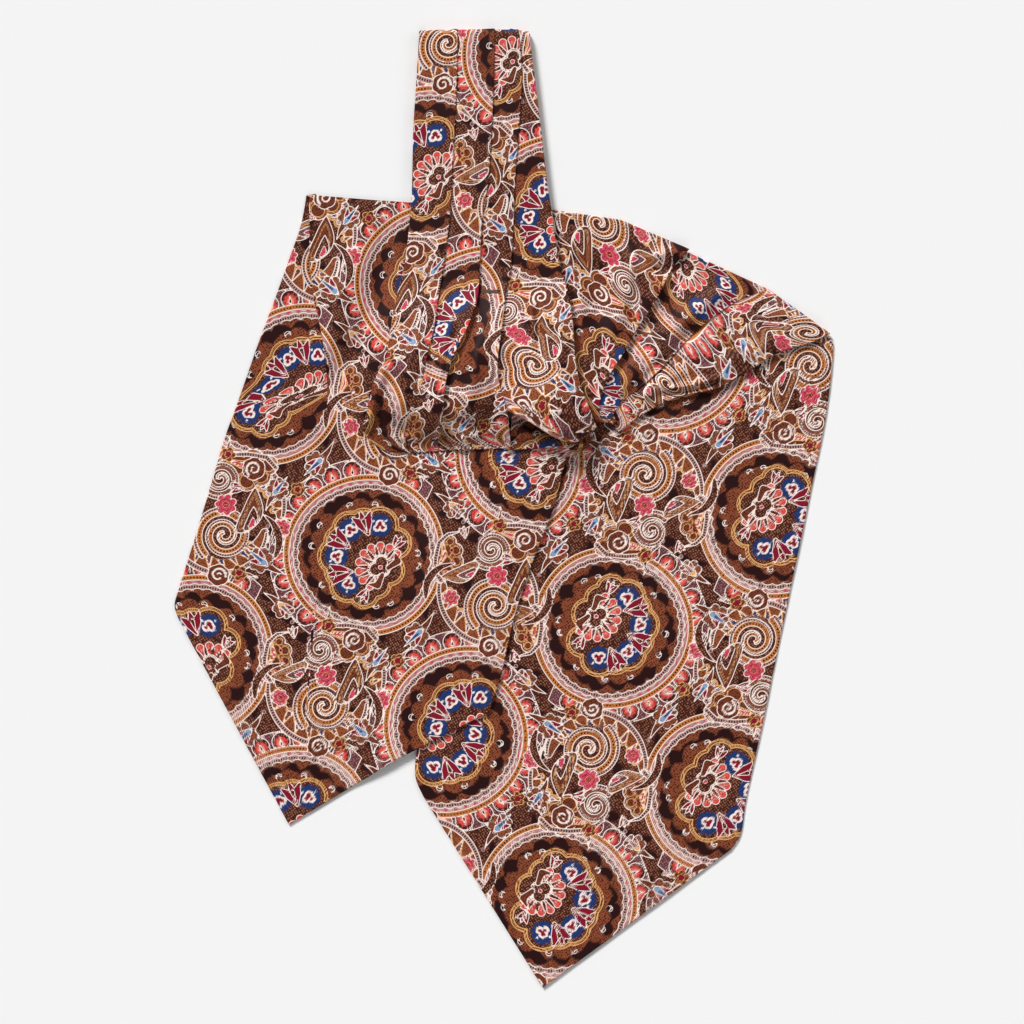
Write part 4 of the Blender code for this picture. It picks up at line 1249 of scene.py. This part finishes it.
# the right gather, with its pleats and the folded lip: rows as in the band, and facets are the
# columns that make one pleat
rightGather = {
    "lines": (
        ((18.3, 141.5), (54.9, 136.2), (87.0, 122.4), (125.0, 103.5), (153.6, 82.7), (0.0, 1.5, 0.0, 0.2)),
        ((20.7, 127.9), (51.2, 124.1), (79.6, 114.0), (109.4, 97.6), (144.0, 78.2), (0.0, 1.6, 0.3, 0.4)),
        ((24.5, 110.4), (49.3, 106.1), (71.5, 98.5), (93.8, 86.7), (128.8, 73.4), (0.0, 1.7, 1.0, 0.6)),
        ((28.3, 91.4), (47.4, 89.1), (62.5, 84.8), (83.4, 76.3), (114.2, 64.4), (0.0, 1.9, 1.3, 0.6)),
        ((29.2, 76.7), (44.1, 75.3), (55.9, 72.9), (74.8, 66.8), (100.0, 56.8), (0.0, 2.0, 1.4, 0.6)),
        ((31.6, 61.6), (41.7, 61.1), (48.3, 60.6), (64.4, 57.2), (81.5, 52.6), (0.0, 1.6, 1.2, 0.5)),
        ((35.4, 49.7), (41.2, 50.2), (45.1, 50.2), (55.5, 50.3), (66.8, 45.5), (0.0, 0.6, 0.7, 0.3)),
        ((39.6, 39.8), (42.5, 40.2), (45.5, 40.6), (49.5, 40.4), (54.0, 36.5), (0.0, 0.1, 0.2, 0.1)),
    ),
    "tuckStart": (89.5, 119.8),
    "rows": 240,
    "facets": ((0, 1, 2), (2, 3), (3, 4)),
    "cells": ((66, 54), (68,), (74,)),
    "fullness": 1.3,
    "topEdge": 0.68,
    "lipEdge": 0.7,
    "hiddenDepth": 9.0,
    "turn": 3.9,
    "origin": (92.0, -12.0),
    "creases": (
        (((96.0, 88.5), (80.0, 74.0), (54.0, 47.5)), -2.2, 3.0, 0.25, 0.1),
        (((102.3, 59.6), (88.0, 55.8), (72.0, 53.0)), -1.8, 1.2, 0.2, 0.2),
        (((108.0, 63.5), (92.0, 58.6), (74.0, 55.6)), 2.1, 1.9, 0.3, 0.2),
        (((92.0, 68.0), (80.0, 62.0), (62.0, 50.0)), 1.7, 3.0, 0.4, 0.2),
        (((66.0, 119.0), (76.0, 120.5), (89.0, 121.5)), 1.8, 2.6, 0.3, 0.4),
        (((66.0, 112.0), (76.0, 113.0), (86.0, 115.5)), -1.8, 2.2, 0.4, 0.1),
        (((62.0, 128.0), (58.0, 104.0), (50.0, 74.0)), 2.8, 4.0, 0.3, 0.3),
        (((47.0, 124.0), (45.5, 104.0), (40.0, 78.0)), -2.0, 3.6, 0.3, 0.3),
        (((110.0, 106.0), (94.0, 96.0), (72.0, 78.0)), 2.7, 4.0, 0.3, 0.3),
        (((84.0, 106.0), (76.0, 92.0), (62.0, 72.0)), -2.0, 3.0, 0.3, 0.3),
        (((30.0, 134.0), (32.0, 112.0), (36.0, 86.0)), 1.7, 3.6, 0.3, 0.3),
        (((136.0, 84.0), (118.0, 74.0), (96.0, 64.0)), 1.5, 4.5, 0.3, 0.4),
        (((90.0, 116.0), (76.0, 99.0), (64.0, 82.0), (51.0, 58.0)), -1.7, 3.0, 0.1, 0.2),
        (((28.0, 120.0), (31.0, 100.0), (33.5, 80.0), (36.5, 60.0)), -1.8, 3.2, 0.3, 0.2),
    ),
}


def makeRightGather():
    table, rows = rightGather["lines"], rightGather["rows"]
    lip = len(rightGather["facets"]) - 1
    meshes = []
    done = np.zeros(rows + 1)
    for j, (columns, cells) in enumerate(zip(rightGather["facets"], rightGather["cells"])):
        lines = linesOf(table, columns)
        if j == 1:
            lines[0][0] = rightGather["tuckStart"]
        shares = evenShares(lines[-1], rows + 1)
        xy, across = layCloth(lines, shares, cells)
        x, y = xy[..., 0], xy[..., 1]
        rises = heightsAlong([row[5][columns[-1] - 1] for row in table], shares)
        before = heightsAlong([row[5][columns[0] - 1] for row in table], shares) if j else np.zeros(rows + 1)
        climb = np.clip(across - (len(cells) - 1), 0, 1) ** pleatEdge["curve"]
        z = onOneLayer(x, y) + layers["bladeWall"] + rightGather["fullness"] * rises[:, None] * climb[None, :]
        z = settled(z + creasesOf(rightGather["creases"], x, y), onOneLayer(x, y))
        flat, done = acrossAndAlong(lines, xy, shares, across, hiddenWidth(rightGather, before), done)
        cloth = {"xyz": np.dstack([x, y, z]), "flat": flat}
        if j == lip:
            cloth = foldUnder(cloth, "right", rightGather["lipEdge"], back=5)
        else:
            cloth = pleatFold(cloth, rises)
        if j:
            cloth = pleatTuck(cloth, before)
        cloth = foldUnder(cloth, "top", rightGather["topEdge"])
        meshes.append(clothMesh("pleat", cloth, rightGather))
    declarePiece("right_gather_silk", meshes, ["right_gather"])


# the cloth that shows in the hollow under the raised pleat
underFold = {
    "lines": (
        ((4.0, 49.0), (22.0, 43.5), (38.0, 45.0)),
        ((2.8, 27.5), (22.0, 29.0), (41.5, 31.5)),
    ),
    "end": 0.97,
    "cells": (26, 26),
    "rows": 36,
    "edge": 0.6,
    "turn": 0.9,
    "origin": (20.0, 11.0),
    "creases": (
        (((1.0, 43.0), (14.0, 41.0), (27.0, 36.5), (38.0, 36.0)), -4.0, 3.6, 0.02, 0.3),
        (((3.0, 32.5), (16.0, 34.0), (30.0, 31.5), (40.0, 32.0)), 0.8, 2.2, 0.1, 0.2),
    ),
}


def makeUnderFold():
    shares = np.linspace(0, underFold["end"], underFold["rows"] + 1)
    xy = layCloth(linesOf(underFold["lines"], range(3)), shares, underFold["cells"])[0]
    x, y = xy[..., 0], xy[..., 1]
    z = onTwoLayers(x, y) + layers["underWall"] + creasesOf(underFold["creases"], x, y)
    cloth = foldUnder({"xyz": np.dstack([xy, z]), "flat": xy}, "bottom", underFold["edge"])
    declarePiece("left_under_fold_silk", [clothMesh("fold", cloth, underFold)], ["left_under_fold"])


# the bar tack that ends the sewn pleats: a close row of stitches across the second pleat
barTack = {
    "place": (-6.4, 102.3),
    "length": 9.6,
    "width": 1.5,
    "stitches": 7,
    "thread": 0.16,        # radius of the silk thread
    "cells": (26, 8),      # along and round a stitch
    "seat": 0.12,          # how deep the stitches sit in the cloth
    "rise": 0.3,
    "wander": 0.12,        # how far a stitch strays from straight
    "uneven": 0.3,         # how much longer or shorter than the rest one is
    "plyPitch": 0.854,
    "plyStrength": 0.4,
    "plyDepth": 0.00005,
    "colour": "#6e4322",
    # painted shade: the colour the thread darkens to in the grooves between its plies
    "shadow": "#4c2c18",
    "roughness": 0.4,
}


def threadMaterial():
    # spun silk: two plies wound round each other; the bump slants the surface along their grooves, and the
    # darker shadow colour in those grooves is painted shade
    made = bpy.data.materials.new("spun silk thread")
    made.use_nodes = True
    tree = made.node_tree
    shader = tree.nodes["Principled BSDF"]
    where = addNode(tree, "ShaderNodeTexCoord").outputs["Object"]
    ply = addNode(tree, "ShaderNodeTexWave", {"bands_direction": "DIAGONAL"},
                  {"Scale": diagonalScale(barTack["plyPitch"] * mm)}, {"Vector": where})
    # painted shade: the colour darkens towards the shadow colour along the grooves of the ply wave
    tone = addNode(tree, "ShaderNodeMix", {"data_type": "RGBA"},
                   {6: linearColour(barTack["shadow"]) + [1], 7: linearColour(barTack["colour"]) + [1]},
                   {0: ply.outputs["Fac"]})
    bump = addNode(tree, "ShaderNodeBump", {},
                   {"Strength": barTack["plyStrength"], "Distance": barTack["plyDepth"]},
                   {"Height": ply.outputs["Fac"]})
    tree.links.new(tone.outputs[2], shader.inputs["Base Color"])
    tree.links.new(bump.outputs["Normal"], shader.inputs["Normal"])
    shader.inputs["Roughness"].default_value = barTack["roughness"]
    shader.inputs["IOR"].default_value = twill["ior"]
    return made


def topOf(piece, x, y, reach=0.7):
    # height of the cloth at places along x
    co = np.empty(len(piece.data.vertices) * 3)
    piece.data.vertices.foreach_get("co", co)
    co = co.reshape(-1, 3) / mm
    return np.array([co[np.hypot(co[:, 0] - a, co[:, 1] - y) < reach, 2].max() for a in x])


def makeBarTack(cloth):
    (midX, midY), (cols, rows) = barTack["place"], barTack["cells"]
    top = topOf(cloth, midX + np.linspace(-0.5, 0.5, cols + 1) * barTack["length"], midY)
    meshes = []
    for k in range(barTack["stitches"]):
        mesh, column, row = clothGrid("stitch", cols, rows)
        share = column / cols
        angle = 2 * pi * row / rows
        offset = (k / (barTack["stitches"] - 1) - 0.5) * barTack["width"]
        wander = barTack["wander"] * np.sin(5 * share + 2.3 * k)
        bulge = barTack["thread"] * np.sqrt(np.clip(1 - (2 * share - 1) ** 8, 0.02, 1))
        rise = barTack["rise"] * np.clip(1 - (2 * share - 1) ** 6, 0, 1)
        place = np.column_stack([
            midX + (share - 0.5) * (barTack["length"] + barTack["uneven"] * sin(3.1 * k)),
            midY + offset + wander + bulge * np.sin(angle),
            top[column] - barTack["seat"] + rise + bulge * np.cos(angle),
        ])
        mesh.vertices.foreach_set("co", (place * mm).ravel())
        meshes.append(mesh)
    piece = joinMeshes("bar_tack", meshes)
    piece.data.materials.append(threadMaterial())
    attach(piece, "root")
    print("made bar_tack", len(piece.data.polygons), "faces")


makeRightBlade()
makeLeftBlade()
makeBackBand()
makeRightGather()
makeUnderFold()
makeBarTack(makeBand())

# hidden folded layers, kept from the solids
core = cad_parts["folded_core"]
core.data.materials.clear()
core.data.materials.append(plainTwill)

# studio: pale sweep, soft boxes round the table and a dim ceiling, camera straight above
studio = {
    "floor": "#f8f8f8",
    "floorSize": 40.0,       # metres, past every view's edge
    "floorRoughness": 0.9,
    "floorShine": 0.1,
    "ceiling": 0.15,
    "boxes": (
        # direction towards the light, angle it spans in radians, strength
        ((-2.1, 3.6, 2.9), 0.3, 3.34),
        ((0.5, 3.4, 2.6), 0.5, 0.36),
        ((3.4, 0.3, 2.6), 0.5, 0.36),
        ((0.2, -3.4, 2.6), 0.5, 0.36),
    ),
    "cameraPlace": (0.0038, -0.0019),
    "lens": 90,
    "sensor": 36,
    "across": 0.485,         # metres of table in the picture
    "clothLevel": 0.003,
}

bpy.ops.mesh.primitive_plane_add(size=studio["floorSize"], location=(0, 0, 0))
floor = bpy.context.object
floor.name = "floor"
paper = bpy.data.materials.new("matt paper sweep")
paper.use_nodes = True
paperShader = paper.node_tree.nodes["Principled BSDF"]
paperShader.inputs["Base Color"].default_value = linearColour(studio["floor"]) + [1]
paperShader.inputs["Roughness"].default_value = studio["floorRoughness"]
paperShader.inputs["Specular IOR Level"].default_value = studio["floorShine"]
floor.data.materials.append(paper)

world = bpy.data.worlds.new("studio")
bpy.context.scene.world = world
world.use_nodes = True
world.node_tree.nodes["Background"].inputs["Color"].default_value = (1, 1, 1, 1)
world.node_tree.nodes["Background"].inputs["Strength"].default_value = studio["ceiling"]


def farSoftBox(name, towards, spread, strength):
    lamp = bpy.data.lights.new(name, "SUN")
    lamp.angle = spread
    lamp.energy = strength
    box = bpy.data.objects.new(name, lamp)
    box.rotation_euler = (-Vector(towards)).to_track_quat("-Z", "Y").to_euler()
    bpy.context.scene.collection.objects.link(box)


for number, (towards, spread, strength) in enumerate(studio["boxes"]):
    farSoftBox(f"softbox_{number}", towards, spread, strength)

eye = bpy.data.cameras.new("eye")
eye.lens = studio["lens"]
eye.sensor_width = studio["sensor"]
camera = bpy.data.objects.new("camera", eye)
height = studio["across"] * studio["lens"] / studio["sensor"] + studio["clothLevel"]
camera.location = (*studio["cameraPlace"], height)
bpy.context.scene.collection.objects.link(camera)
bpy.context.scene.camera = camera
bpy.context.scene.view_settings.view_transform = "Standard"
print("studio and camera in place")
